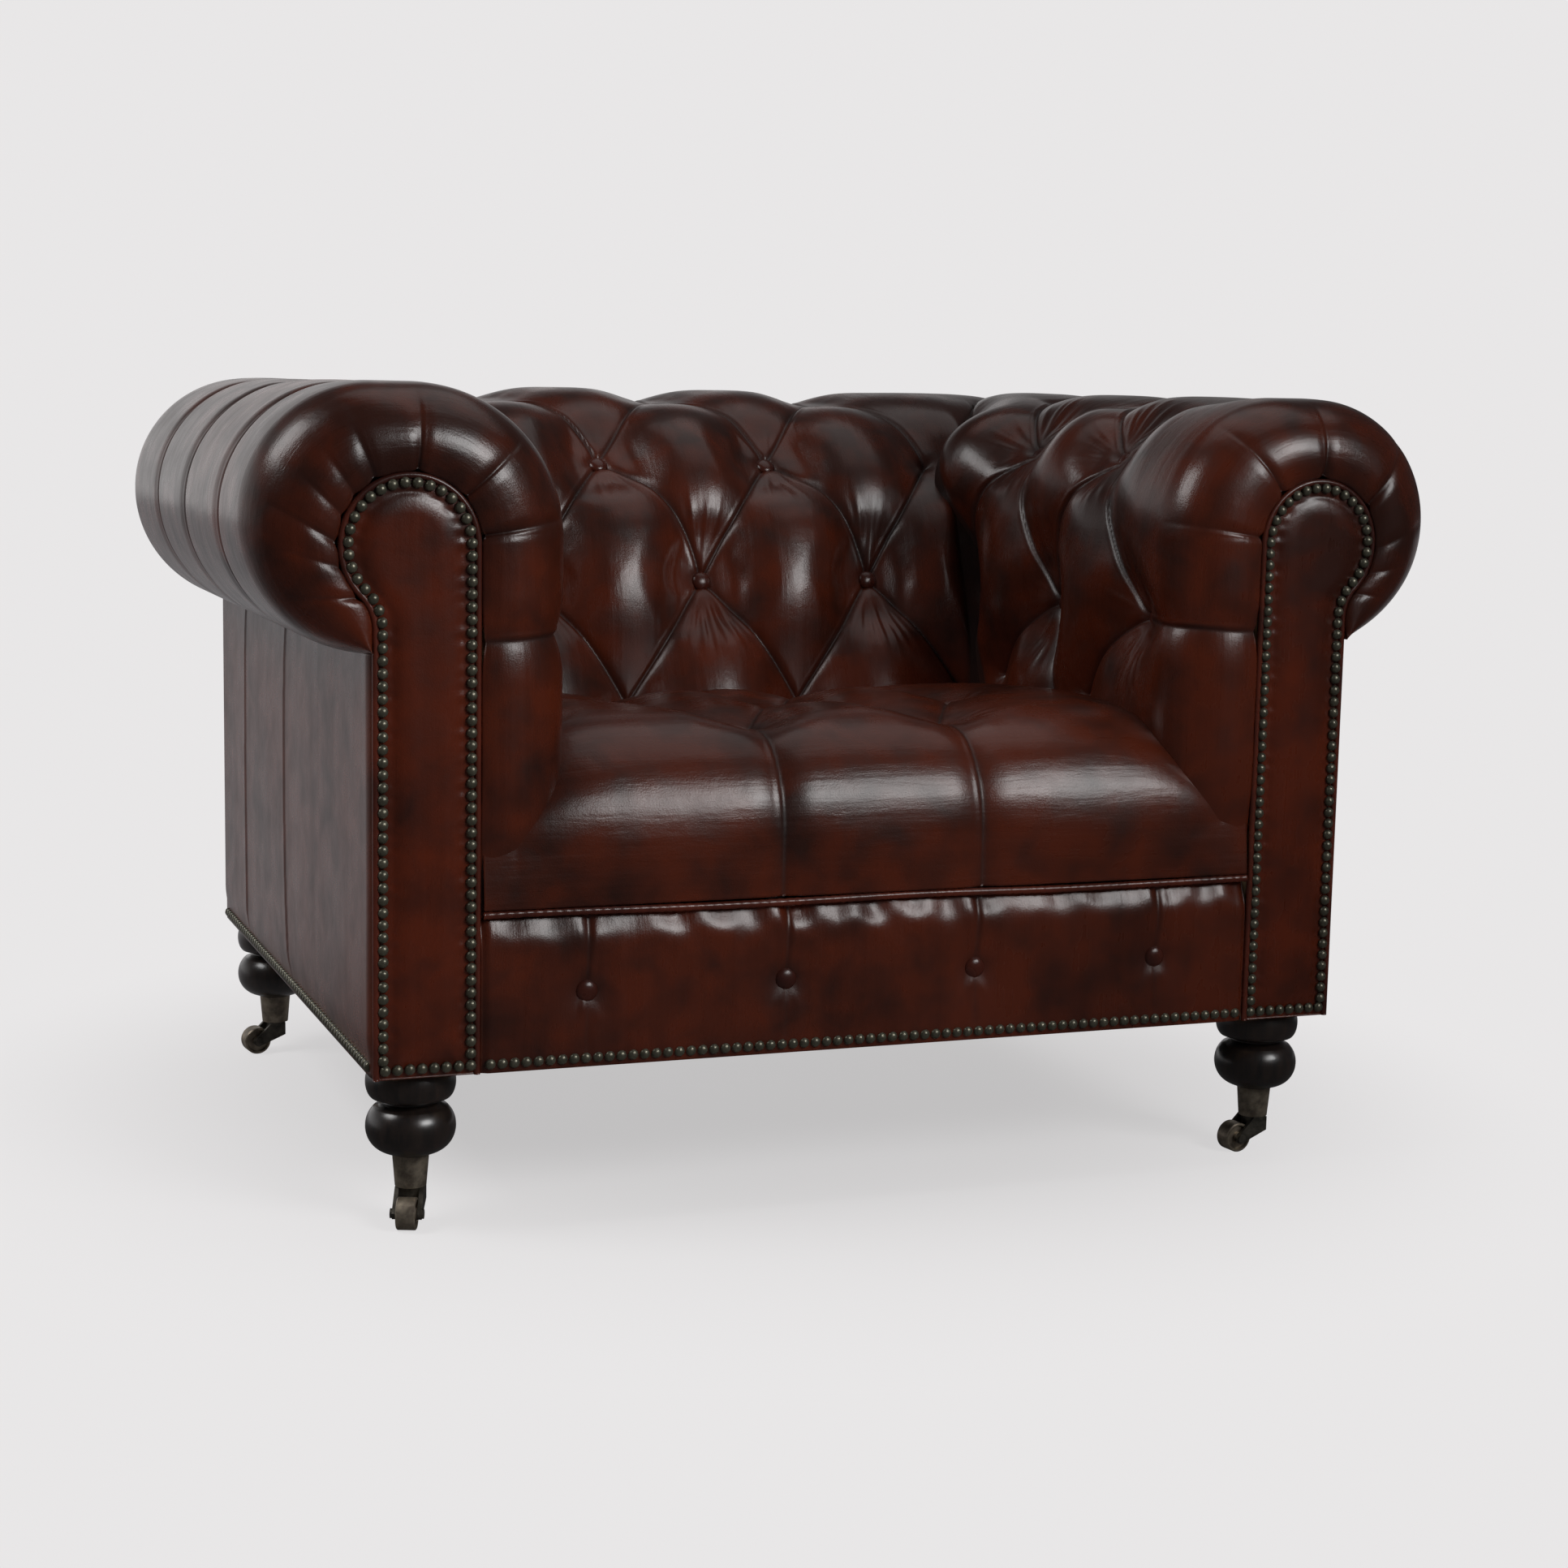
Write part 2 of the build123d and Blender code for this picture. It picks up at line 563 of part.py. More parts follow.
spring_front_y = front_rail_y + rail_thickness / 2
spring_rear_y = rail_front_y + rail_thickness / 2
loop_step = (spring_rear_y - spring_front_y) / spring_loops
bend = loop_step * 0.42
clip_room = spring_wire / 2
springs = []
clips = []
for i in range(spring_count):
    x = (i - (spring_count - 1) / 2) * spring_spacing
    stops = [(x - spring_half_width / 2, spring_front_y, spring_z)]
    for k in range(spring_loops):
        reach = spring_half_width if k % 2 == 0 else -spring_half_width
        y = spring_front_y + k * loop_step
        stops += [(x + reach, y, spring_z), (x + reach, y + loop_step, spring_z)]
    stops.append((x + spring_half_width / 2, spring_rear_y, spring_z))
    course = FilletPolyline(*stops, radius=bend)
    wire_plane = Plane(origin=stops[0], z_dir=(1, 0, 0))
    springs.append(sweep(wire_plane * Circle(spring_wire / 2), path=course))
    for y, open_side in ((spring_front_y, 1), (spring_rear_y, -1)):
        clip_reach = clip_room + clip_plate
        wrap = box(x - clip_width / 2, x + clip_width / 2, y - clip_reach, y + clip_reach, border_top, seat_base)
        slot = box(x - clip_width, x + clip_width, y - clip_room, y + clip_room + clip_plate + 1,
                   spring_z - clip_room, spring_z + clip_room)
        if open_side < 0:
            slot = box(x - clip_width, x + clip_width, y - clip_room - clip_plate - 1, y + clip_room,
                       spring_z - clip_room, spring_z + clip_room)
        clips.append(wrap - slot)

cover_side = foot_x - foot_diameter / 2 - nail_pitch
cover_front_y = front_rail_y + rail_thickness / 2
cover_rear_y = rail_front_y + rail_thickness / 2
notch_front_y = front_foot_y + foot_diameter / 2 + nail_pitch
notch_rear_y = rear_foot_y - foot_diameter / 2 - nail_pitch
cover_wide = rail_in_x + rail_thickness / 2
dust_cover = box(-cover_side, cover_side, cover_front_y, cover_rear_y, body_bottom, timber_bottom)
dust_cover = dust_cover + box(-cover_wide, cover_wide, notch_front_y, notch_rear_y, body_bottom, timber_bottom)

# Domed nails: round each facing and along the bottom of the front, sides and back
nail_head = domed(nail_diameter / 2, nail_height / 8, nail_height)
shank_plane = Plane((0, 0, -nail_shank_length))
nail = nail_head + Solid.make_cylinder(nail_shank_diameter / 2, nail_shank_length, shank_plane)


def nails_at(points, normal):
    """Copies of the nail with their heads facing one way."""
    return [Plane(origin=point, z_dir=normal).location * nail for point in points]


def nail_line(start, end):
    """Evenly spaced points from one end of a row to the other."""
    start = Vector(*start)
    end = Vector(*end)
    count = round((end - start).length / nail_pitch)
    return [start + (end - start) * (i / count) for i in range(count + 1)]


nail_z = body_bottom + nail_inset
nail_path = facing_outline(facing_y, nail_inset, nail_z)
facing_nail_count = round(nail_path.length / nail_pitch)
facing_points = [nail_path.position_at(i / facing_nail_count) for i in range(facing_nail_count)]
right_facing_nails = nails_at(facing_points, (0, -1, 0))
facing_nails = right_facing_nails + [mirrored(one) for one in right_facing_nails]
front_end_x = facing_in_x - nail_inset
side_front_y = facing_back_y + nail_inset
rear_end_x = panel_x - nail_inset
front_row = nail_line((-front_end_x, border_front_y, nail_z), (front_end_x, border_front_y, nail_z))
side_row = nail_line((panel_x, side_front_y, nail_z), (panel_x, frame_rear_y - nail_inset, nail_z))
rear_row = nail_line((-rear_end_x, panel_y, nail_z), (rear_end_x, panel_y, nail_z))
side_nails = nails_at(side_row, (1, 0, 0))
rail_nails = nails_at(front_row, (0, -1, 0)) + side_nails + [mirrored(one) for one in side_nails]
rail_nails += nails_at(rear_row, (0, 1, 0))

# Turned bun foot with a tapered end for the castor cup, at the origin of its own axis
foot_radius = foot_diameter / 2
groove_radius = foot_groove_diameter / 2
cup_top_radius = cup_top_diameter / 2
cup_bottom_radius = cup_bottom_diameter / 2
cup_floor = cup_bottom + cup_wall
taper = (cup_top_radius - cup_bottom_radius) / cup_height
taper_low = cup_bottom_radius - cup_wall + taper * cup_wall
taper_high = cup_top_radius - cup_wall
bun_bottom = cup_top + foot_height * 0.04
bun_top = cup_top + foot_height * 0.62
bead_high = timber_bottom
foot_steps = [((taper_low, cup_floor),), ((taper_high, cup_top),), ((cup_top_radius, cup_top),)]
foot_steps += [((cup_top_radius + 2, bun_bottom),)]
foot_steps += [((foot_radius, bun_bottom + (bun_top - bun_bottom) * 0.52), (groove_radius, bun_top))]
bead_mid = (foot_radius - 1, (bun_top + bead_high) / 2)
foot_steps += [(bead_mid, (groove_radius + 5, bead_high)), ((0, bead_high),)]
foot_body = Solid.revolve(Face(outline(across(0), (0, cup_floor), foot_steps)), 360, Axis.Z)
pin_top = cup_top
bolt_low = timber_bottom - bolt_length / 2
foot_turning = foot_body - Solid.make_cylinder(pin_diameter / 2, pin_top - cup_floor, Plane((0, 0, cup_floor)))
foot_turning = foot_turning - Solid.make_cylinder(bolt_diameter / 2, bolt_length / 2, Plane((0, 0, bolt_low)))
foot_bolt = Solid.make_cylinder(bolt_diameter / 2, bolt_length, Plane((0, 0, bolt_low)))
block_hole = Solid.make_cylinder(bolt_diameter / 2, bolt_length / 2, Plane((0, 0, timber_bottom)))
corner_block = corner_block - Pos(foot_x, front_foot_y, 0) * block_hole
rear_post = rear_post - Pos(foot_x, rear_foot_y, 0) * block_hole

# Castor: cup and pin on the foot, fork that swivels on the pin, wheel on its axle, trailing along +X
cup_outer = Solid.make_cone(cup_bottom_radius, cup_top_radius, cup_height, Plane((0, 0, cup_bottom)))
cup_inner = Solid.make_cone(taper_low, taper_high, cup_height - cup_wall, Plane((0, 0, cup_floor)))
cup_hole = Solid.make_cylinder(pin_diameter / 2, cup_wall, Plane((0, 0, cup_bottom)))
cup = cup_outer - cup_inner - cup_hole
flange_top = boss_bottom - swivel_gap
flange_low = flange_top - 2
pin = Solid.make_cylinder(pin_diameter / 2, pin_top - flange_low, Plane((0, 0, flange_low)))
pin = pin + Solid.make_cylinder(pin_flange_diameter / 2, flange_top - flange_low, Plane((0, 0, flange_low)))

fork_gap = wheel_width / 2 + wheel_side_play
fork_half = fork_gap + cheek_thickness
axle_radius = axle_diameter / 2
eye_radius = axle_radius + 3
boss_radius = pin_diameter / 2 + 4
crosswise = Plane(origin=(trail, -fork_half, wheel_radius), z_dir=(0, 1, 0))
bridge = box(-boss_radius, boss_radius, -fork_half, fork_half, boss_bottom, boss_top)
wheel_room = Solid.make_cylinder(wheel_radius + 1.5, 2 * fork_half, crosswise)
bridge = bridge - wheel_room
eye_mid = (trail + eye_radius * 0.7, wheel_radius - eye_radius * 0.7)
cheek_steps = [((-boss_radius, boss_top),), ((boss_radius, boss_top),)]
cheek_steps += [((trail + eye_radius, wheel_radius + 1),), (eye_mid, (trail, wheel_radius - eye_radius))]
cheek_wire = outline(across(-fork_half), (-boss_radius, boss_bottom), cheek_steps)
cheek = prism(cheek_wire, (0, cheek_thickness, 0))
far_cheek = Pos(0, fork_gap + fork_half, 0) * cheek
pin_bore = Solid.make_cylinder(pin_diameter / 2 + running_fit, 2 * boss_height, Plane((0, 0, boss_bottom - 1)))
axle_bore = Solid.make_cylinder(axle_radius, 2 * fork_half, crosswise)
fork = bridge + cheek + far_cheek
fork = fork - pin_bore - axle_bore

rivet = cheek_thickness / 2
rivet_end = Plane(origin=(trail, -fork_half - rivet, wheel_radius), z_dir=(0, 1, 0))
far_rivet = Plane(origin=(trail, fork_half, wheel_radius), z_dir=(0, 1, 0))
axle = Solid.make_cylinder(axle_radius, 2 * (fork_half + rivet), rivet_end)
axle = axle + Solid.make_cylinder(eye_radius - 1, rivet, rivet_end)
axle = axle + Solid.make_cylinder(eye_radius - 1, rivet, far_rivet)

half_wheel = wheel_width / 2
dish = wheel_width / 6
rim_in = wheel_radius * 0.78
hub = axle_radius + 3
bore = axle_radius + running_fit
wheel_steps = [((hub, -half_wheel),), ((hub, dish - half_wheel),), ((rim_in, dish - half_wheel),)]
wheel_steps += [((rim_in + 1, -half_wheel),), ((wheel_radius - 1, -half_wheel),)]
wheel_steps += [((wheel_radius, 1 - half_wheel),), ((wheel_radius, half_wheel - 1),)]
wheel_steps += [((wheel_radius - 1, half_wheel),), ((rim_in + 1, half_wheel),)]
wheel_steps += [((rim_in, half_wheel - dish),), ((hub, half_wheel - dish),)]
wheel_steps += [((hub, half_wheel),), ((bore, half_wheel),)]
wheel_face = Face(outline(lambda u, v: (trail + u, v, wheel_radius), (bore, -half_wheel), wheel_steps))
wheel = Solid.revolve(wheel_face, 360, Axis((trail, 0, wheel_radius), (0, 1, 0)))

# Node files
nodes = {
    "front_seat_rail": front_rail,
    "rear_seat_rail": rear_rail,
    "right_seat_rail": side_rail,
    "left_seat_rail": mirrored(side_rail),
    "right_front_post": front_post,
    "left_front_post": mirrored(front_post),
    "right_rear_post": rear_post,
    "left_rear_post": mirrored(rear_post),
    "right_arm_top_rail": arm_top_rail,
    "left_arm_top_rail": mirrored(arm_top_rail),
    "back_top_rail": back_top_rail,
    "tack_rails": Compound([tack_rail, mirrored(tack_rail)]),
    "corner_blocks": Compound([corner_block, mirrored(corner_block)]),
    "seat_springs": Compound(springs),
    "spring_clips": Compound(clips),
    "arm_webbing": Compound(arm_webbing),
    "back_webbing": Compound(back_webbing),
    "dust_cover": dust_cover,
    "seat_pad": seat_pad,
    "front_border": border_pad,
    "seat_welt": seat_welt,
    "right_arm_pad": arm_pad,
    "left_arm_pad": mirrored(arm_pad),
    "back_pad": back_pad,
    "right_outside_arm": outside_arm,
    "left_outside_arm": mirrored(outside_arm),
    "outside_back": outside_back,
    "right_facing": facing_board,
    "left_facing": mirrored(facing_board),
    "right_facing_welt": facing_welt,
    "left_facing_welt": mirrored(facing_welt),
    "facing_nails": Compound(facing_nails),
    "rail_nails": Compound(rail_nails),
    "arm_buttons": Compound(arm_buttons + [mirrored(one) for one in arm_buttons]),
    "back_buttons": Compound(back_buttons),
    "seat_buttons": Compound(seat_buttons),
    "border_buttons": Compound(border_buttons),
}
pins = []
bolts = []
for corner, heading in castor_headings.items():
    x = foot_x if corner.endswith("right") else -foot_x
    y = front_foot_y if corner.startswith("front") else rear_foot_y
    stand = Pos(x, y, 0)
    swung = stand * Rot(0, 0, heading)
    nodes[corner + "_foot"] = stand * foot_turning
    nodes[corner + "_cup"] = stand * cup
    nodes[corner + "_fork"] = swung * fork
    nodes[corner + "_axle"] = swung * axle
    nodes[corner + "_wheel"] = swung * wheel
    pins.append(stand * pin)
    bolts.append(stand * foot_bolt)
nodes["castor_pins"] = Compound(pins)
nodes["foot_bolts"] = Compound(bolts)

os.makedirs("parts", exist_ok=True)
for name, shape in nodes.items():
    export_step(shape, f"parts/{name}.step")
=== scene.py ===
import bpy
import numpy as np
from mathutils import Matrix


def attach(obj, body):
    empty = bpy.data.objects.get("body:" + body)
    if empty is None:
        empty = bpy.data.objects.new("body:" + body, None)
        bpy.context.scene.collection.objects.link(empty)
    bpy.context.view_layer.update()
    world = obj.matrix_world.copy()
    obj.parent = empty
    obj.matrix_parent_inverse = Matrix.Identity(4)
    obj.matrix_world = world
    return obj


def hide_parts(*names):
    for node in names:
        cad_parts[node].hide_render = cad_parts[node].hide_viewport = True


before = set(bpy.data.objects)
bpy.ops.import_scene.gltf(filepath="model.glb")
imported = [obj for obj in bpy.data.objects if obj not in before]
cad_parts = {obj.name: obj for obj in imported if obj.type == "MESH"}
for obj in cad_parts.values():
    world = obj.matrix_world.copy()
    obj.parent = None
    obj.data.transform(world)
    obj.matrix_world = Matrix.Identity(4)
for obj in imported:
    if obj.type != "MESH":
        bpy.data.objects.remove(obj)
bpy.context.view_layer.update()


# Timber frame: planed hardwood rails, posts and corner blocks, glued and screwed, all under the padding.
# The solids stay as they are and get raw wood with its grain along the longer side of each piece.
def new_finish(name):
    """Material, its node tree and its Principled shader."""
    finish = bpy.data.materials.new(name)
    finish.use_nodes = True
    return finish, finish.node_tree, finish.node_tree.nodes["Principled BSDF"]


def feed(tree, node, **inputs):
    """Feeds a node's inputs, given by name, or as i0, i1... by number, with values or sockets."""
    for key, value in inputs.items():
        at = int(key[1:]) if key[0] == "i" and key[1:].isdigit() else key.replace("_", " ")
        if isinstance(value, bpy.types.NodeSocket):
            tree.links.new(value, node.inputs[at])
        else:
            node.inputs[at].default_value = value
    return node


def put(tree, kind, settings=None, **inputs):
    """Adds a node of one kind, with its settings and inputs."""
    node = tree.nodes.new("ShaderNode" + kind)
    for key, value in (settings or {}).items():
        setattr(node, key, value)
    return feed(tree, node, **inputs)


def object_spot(tree):
    """Place on the piece in metres."""
    return put(tree, "TexCoord").outputs["Object"]


def noise(tree, spot, scale, detail, **more):
    """Cloudy value from 0 to 1."""
    return put(tree, "TexNoise", Vector=spot, Scale=scale, Detail=detail, **more).outputs[0]


def ramp(tree, value, low, high, start=0.0, end=1.0, kind="LINEAR"):
    """Value carried from low...high to start...end and held beyond those."""
    settings = {"interpolation_type": kind}
    return put(tree, "MapRange", settings, Value=value, i1=low, i2=high, i3=start, i4=end).outputs[0]


def bumped(tree, height, strength, distance):
    """Normal that follows a height."""
    return put(tree, "Bump", Height=height, Strength=strength, Distance=distance).outputs[0]


def mixed(tree, share, low, high):
    """Colour between two colours by a share."""
    return put(tree, "Mix", {"data_type": "RGBA"}, i0=share, i6=low, i7=high).outputs[2]


def new_group(name, inputs, outputs):
    """Empty node group with named sockets; gives it with its input sockets and its output node."""
    group = bpy.data.node_groups.new(name, "ShaderNodeTree")
    for side, sockets in (("INPUT", inputs), ("OUTPUT", outputs)):
        for label, kind in sockets:
            group.interface.new_socket(label, in_out=side, socket_type="NodeSocket" + kind)
    return group, group.nodes.new("NodeGroupInput").outputs, group.nodes.new("NodeGroupOutput")


def use_group(tree, group, **inputs):
    """Places a node group in a material and gives its outputs."""
    return put(tree, "Group", {"node_tree": group}, **inputs).outputs


wood_grain, wood_in, wood_out = new_group("wood_grain", (("Stretch", "Vector"), ("Pale", "Color"), ("Dark", "Color")),
                                          (("Color", "Color"), ("Height", "Float")))
wood_run = put(wood_grain, "Mapping", Vector=object_spot(wood_grain), Scale=wood_in["Stretch"]).outputs[0]
wood_line = noise(wood_grain, wood_run, 1.0, 6.0, Roughness=0.62, Distortion=0.6)
wood_tone = mixed(wood_grain, ramp(wood_grain, wood_line, 0.32, 0.68), wood_in["Dark"], wood_in["Pale"])
feed(wood_grain, wood_out, Color=wood_tone, Height=wood_line)


def wood_finish(name, stretch, pale, dark, strength, depth, rough, wax=0.0):
    """Timber with long streaks of noise stretched along its grain. rough is one value, or a range over the grain."""
    finish, tree, shader = new_finish(name)
    grain = use_group(tree, wood_grain, Stretch=stretch, Pale=pale, Dark=dark)
    gloss = ramp(tree, grain["Height"], 0.0, 1.0, *rough) if isinstance(rough, tuple) else rough
    feed(tree, shader, Base_Color=grain["Color"], Normal=bumped(tree, grain["Height"], strength, depth),
         Roughness=gloss, Coat_Weight=wax, Coat_Roughness=0.22)
    return finish


def dress(finish, *names):
    """Gives CAD nodes one finish."""
    for name in names:
        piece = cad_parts[name]
        piece.data.materials.clear()
        piece.data.materials.append(finish)


raw_pale, raw_dark = (0.56, 0.39, 0.22, 1), (0.36, 0.22, 0.11, 1)
raw_wood = (("across", (6, 90, 90), ("front_seat_rail", "rear_seat_rail", "back_top_rail", "corner_blocks")),
            ("deep", (90, 6, 90), ("left_seat_rail", "right_seat_rail", "left_arm_top_rail", "right_arm_top_rail",
                                   "tack_rails")),
            ("upright", (90, 90, 6), ("left_front_post", "right_front_post", "left_rear_post", "right_rear_post")))
for run, stretch, names in raw_wood:
    dress(wood_finish("raw_wood_" + run, stretch, raw_pale, raw_dark, 0.25, 0.001, 0.7), *names)


# Springs, clips and bolts: drawn steel wire, pressed plate and threaded rod, dull from the mill.
# They stay as solids, with a little cloudy tarnish.
def metal_finish(name, dark, bright, cloud, span, rough, metallic):
    """Metal with a tarnish from dark to bright over a span of noise, whose scale, detail and roughness cloud gives.
    rough is the range of the metal's own roughness."""
    finish, tree, shader = new_finish(name)
    value = noise(tree, object_spot(tree), cloud[0], cloud[1], Roughness=cloud[2])
    feed(tree, shader, Base_Color=mixed(tree, ramp(tree, value, *span), dark, bright),
         Roughness=ramp(tree, value, 0.0, 1.0, *rough), Metallic=metallic)
    return finish


steel = metal_finish("mill_steel", (0.30, 0.30, 0.31, 1), (0.52, 0.52, 0.53, 1), (60.0, 4.0, 0.5), (0.0, 1.0),
                     (0.3, 0.55), 1.0)
dress(steel, "seat_springs", "spring_clips", "foot_bolts")


# Webbing: flat woven straps tacked behind the inside arms and the inside back to carry their padding.
# They stay as solids, with a plain weave about 2 mm across.
def woven_finish(name, scale, first, second, strength, depth):
    """Plain weave: a checker of two threads, one of them raised."""
    finish, tree, shader = new_finish(name)
    weave = put(tree, "TexChecker", Vector=object_spot(tree), Scale=scale, Color1=first, Color2=second).outputs
    feed(tree, shader, Base_Color=weave[0], Normal=bumped(tree, weave[1], strength, depth), Roughness=0.9)
    return finish


webbing = woven_finish("strap_webbing", 480.0, (0.34, 0.27, 0.17, 1), (0.16, 0.12, 0.07, 1), 0.5, 0.0006)
dress(webbing, "arm_webbing", "back_webbing")

# Bun feet: turned hardwood, ebonised and waxed, each with a ball, a cut ring near its top and a collar bead.
# A profile is carried round the foot's own axis; the bottom tapers into the brass cup.
foot_spots = {"front_left": (-0.442, -0.391), "front_right": (0.442, -0.391),
              "rear_left": (-0.442, 0.303), "rear_right": (0.442, 0.303)}


def grid_of(*coordinates):
    """Grid of points from their coordinates, each repeated over the whole grid."""
    return np.stack(np.broadcast_arrays(*coordinates), axis=-1)


def new_piece(name, points, faces):
    """Smooth object of points and faces, at the origin."""
    mesh = bpy.data.meshes.new(name)
    mesh.from_pydata(points.reshape(-1, 3).tolist(), [], faces)
    mesh.polygons.foreach_set("use_smooth", np.ones(len(faces), bool))
    mesh.update()
    piece = bpy.data.objects.new(name, mesh)
    bpy.context.scene.collection.objects.link(piece)
    return piece


def widened(values, columns):
    """Grid of values whose last columns are repeated until there are enough of them."""
    return np.concatenate([values, values[:, 2 * values.shape[1] - columns:]], axis=1).astype(np.float32)


def lay_surface(name, points, wrap=False, cover=None, fold=None, away=None):
    """Mesh over a grid of points, rows by columns by 3, with one four-sided face in each cell. With wrap the columns
    close into a loop and one face caps each end row. cover is each point's place on the leather for the UV map, fold
    how near it is to a pleat; the hidden last columns may be left out of both. An open surface faces along away, and a
    closed one faces outwards."""
    rows, columns = points.shape[:2]
    flat = points.reshape(-1, 3)
    index = np.arange(rows * columns).reshape(rows, columns)
    if wrap:
        index = np.concatenate([index, index[:, :1]], axis=1)
    quads = np.stack([index[:-1, :-1], index[1:, :-1], index[1:, 1:], index[:-1, 1:]], axis=-1).reshape(-1, 4)
    corner = flat[quads] - flat.mean(0)
    across = np.cross(corner[:, 2] - corner[:, 0], corner[:, 3] - corner[:, 1])
    facing = (across * (corner.mean(1) if away is None else np.array(away))).sum()
    faces = quads.tolist()
    if wrap:
        faces += [index[0, -2::-1].tolist(), index[-1, :-1].tolist()]
    if facing < 0:
        faces = [face[::-1] for face in faces]
    piece = new_piece(name, flat, faces)
    mesh = piece.data
    if cover is not None:
        corners = np.empty(len(mesh.loops), np.int32)
        mesh.loops.foreach_get("vertex_index", corners)
        layer = mesh.uv_layers.new(name="cover")
        layer.data.foreach_set("uv", widened(cover, columns).reshape(-1, 2)[corners].ravel())
    if fold is not None:
        # The leather turns this fold attribute into painted shade and into rougher creases.
        mesh.attributes.new("fold", "FLOAT", "POINT").data.foreach_set("value", widened(fold, columns).ravel())
    return piece


def fit(piece, finish, node):
    """Gives a piece its finish. It rides on the chair and stands for a CAD node."""
    piece.data.materials.append(finish)
    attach(piece, "chair")
    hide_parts(node)
    return piece


def turned(profile, spot, count):
    """Surface of revolution: (radius, height) pairs carried round an upright axis, rows along and columns round."""
    angle = np.linspace(0, 2 * np.pi, count, endpoint=False)
    radius, height = np.array(profile).T[:, :, None]
    return grid_of(radius * np.cos(angle) + spot[0], radius * np.sin(angle) + spot[1], height)


def foot_profile():
    """Radius over height of a foot: taper, ball (half an ellipse) with a small step near its top, groove and collar
    bead."""
    ball = np.linspace(-1.18, 1.05, 40)
    ball_r, ball_z = 0.0415 * np.cos(ball) ** 0.62, 0.0925 + 0.0245 * np.sin(ball) / np.sin(1.18)
    ball_r = ball_r - 0.0022 * (ball_z > 0.1112)
    bead = np.linspace(-1.05, 1.35, 24)
    bead_r, bead_z = 0.030 + 0.0115 * np.cos(bead) ** 0.8, 0.1345 + 0.0165 * np.sin(bead)
    start = [(0.0131, 0.0380), (0.0150, 0.0657), (0.0170, 0.0658), (0.0190, 0.0690)]
    return start + list(zip(ball_r, ball_z)) + [(0.0288, 0.1185)] + list(zip(bead_r, bead_z))


ebony = wood_finish("ebonised_wood", (140, 140, 18), (0.020, 0.012, 0.009, 1), (0.006, 0.005, 0.005, 1), 0.06, 0.0006,
                    (0.24, 0.36), wax=0.35)
for corner, spot in foot_spots.items():
    bun = lay_surface(corner + "_bun", turned(foot_profile(), spot, 72), wrap=True)
    fit(bun, ebony, corner + "_foot")

# Castors: cast and turned brass, aged dark; a tapered cup pinned on the foot, a fork, a riveted axle and a wheel.
# The solids stay; cup and wheel get a brown patina with brighter metal in it, fork and axle a nearly black one.
patina = {"cloud": (90.0, 5.0, 0.6), "span": (0.35, 0.7), "rough": (0.38, 0.54), "metallic": 0.85}
aged_brass = metal_finish("aged_brass", (0.15, 0.122, 0.095, 1), (0.40, 0.34, 0.26, 1), **patina)
dark_brass = metal_finish("dark_brass", (0.050, 0.046, 0.040, 1), (0.15, 0.135, 0.11, 1), **patina)
for corner in foot_spots:
    dress(aged_brass, corner + "_cup", corner + "_wheel")
    dress(dark_brass, corner + "_fork", corner + "_axle")
dress(dark_brass, "castor_pins")


# Sprung seat: leather over hair and springs, with a rounded nose that comes down to the border's welt.
# Two rows of buttons pull it in; a long pleat runs over the nose from each front button, and the rest make diamonds.
def sums(tree, work, first, second=0.0, third=0.0):
    """One step of arithmetic on values."""
    return put(tree, "Math", {"operation": work}, i0=first, i1=second, i2=third).outputs[0]


hide, hide_in, hide_out = new_group(
    "hide", (("Pale", "Color"), ("Deep", "Color"), ("Fold", "Float"), ("Crinkle", "Float")),
    (("Color", "Color"), ("Roughness", "Float"), ("Height", "Float")))
hide_coord = put(hide, "TexCoord").outputs
hide_spot = hide_coord["Object"]
hide_patch = noise(hide, hide_spot, 6.0, 4.0, Roughness=0.55)
hide_cloud = noise(hide, hide_spot, 24.0, 3.0, Roughness=0.5, Distortion=0.3)
hide_tone = sums(hide, "ADD", sums(hide, "MULTIPLY", hide_patch, 0.62), sums(hide, "MULTIPLY", hide_cloud, 0.38))
hide_high = put(hide, "SeparateXYZ", Vector=hide_spot).outputs["Z"]
# Paler lower down and darker higher up, by height alone: painted light on the low parts and painted shade on the tops.
hide_height_shade = ramp(hide, hide_high, 0.46, 0.74, 0.05, -0.06)
hide_pulled = put(hide, "Mapping", Vector=hide_coord["UV"], Scale=(130.0, 5.0, 1.0)).outputs[0]
hide_streak = sums(hide, "SUBTRACT", noise(hide, hide_pulled, 1.0, 3.0, Roughness=0.6, Distortion=0.2), 0.5)
hide_tone = sums(hide, "ADD", hide_tone, sums(hide, "MULTIPLY_ADD", hide_streak, 0.05, hide_height_shade))
hide_colour = mixed(hide, ramp(hide, hide_tone, 0.38, 0.62), hide_in["Deep"], hide_in["Pale"])
# Painted shade: near pleats, buttons and the corner fold, the fold attribute mixes the colour towards near black.
hide_colour = mixed(hide, sums(hide, "MULTIPLY", hide_in["Fold"], 0.75), hide_colour, (0.006, 0.0025, 0.002, 1))
hide_pore = put(hide, "TexVoronoi", {"feature": "SMOOTH_F1"}, Vector=hide_spot, Scale=620.0, Smoothness=0.4).outputs[0]
hide_fine = noise(hide, hide_spot, 150.0, 5.0, Roughness=0.6)
hide_lie = put(hide, "Mapping", Vector=hide_coord["UV"], Scale=(85.0, 9.0, 1.0)).outputs[0]
hide_crinkle = noise(hide, hide_lie, 1.0, 4.0, Roughness=0.6, Distortion=0.5)
hide_swell = sums(hide, "MULTIPLY", noise(hide, hide_spot, 34.0, 2.0), 0.7)
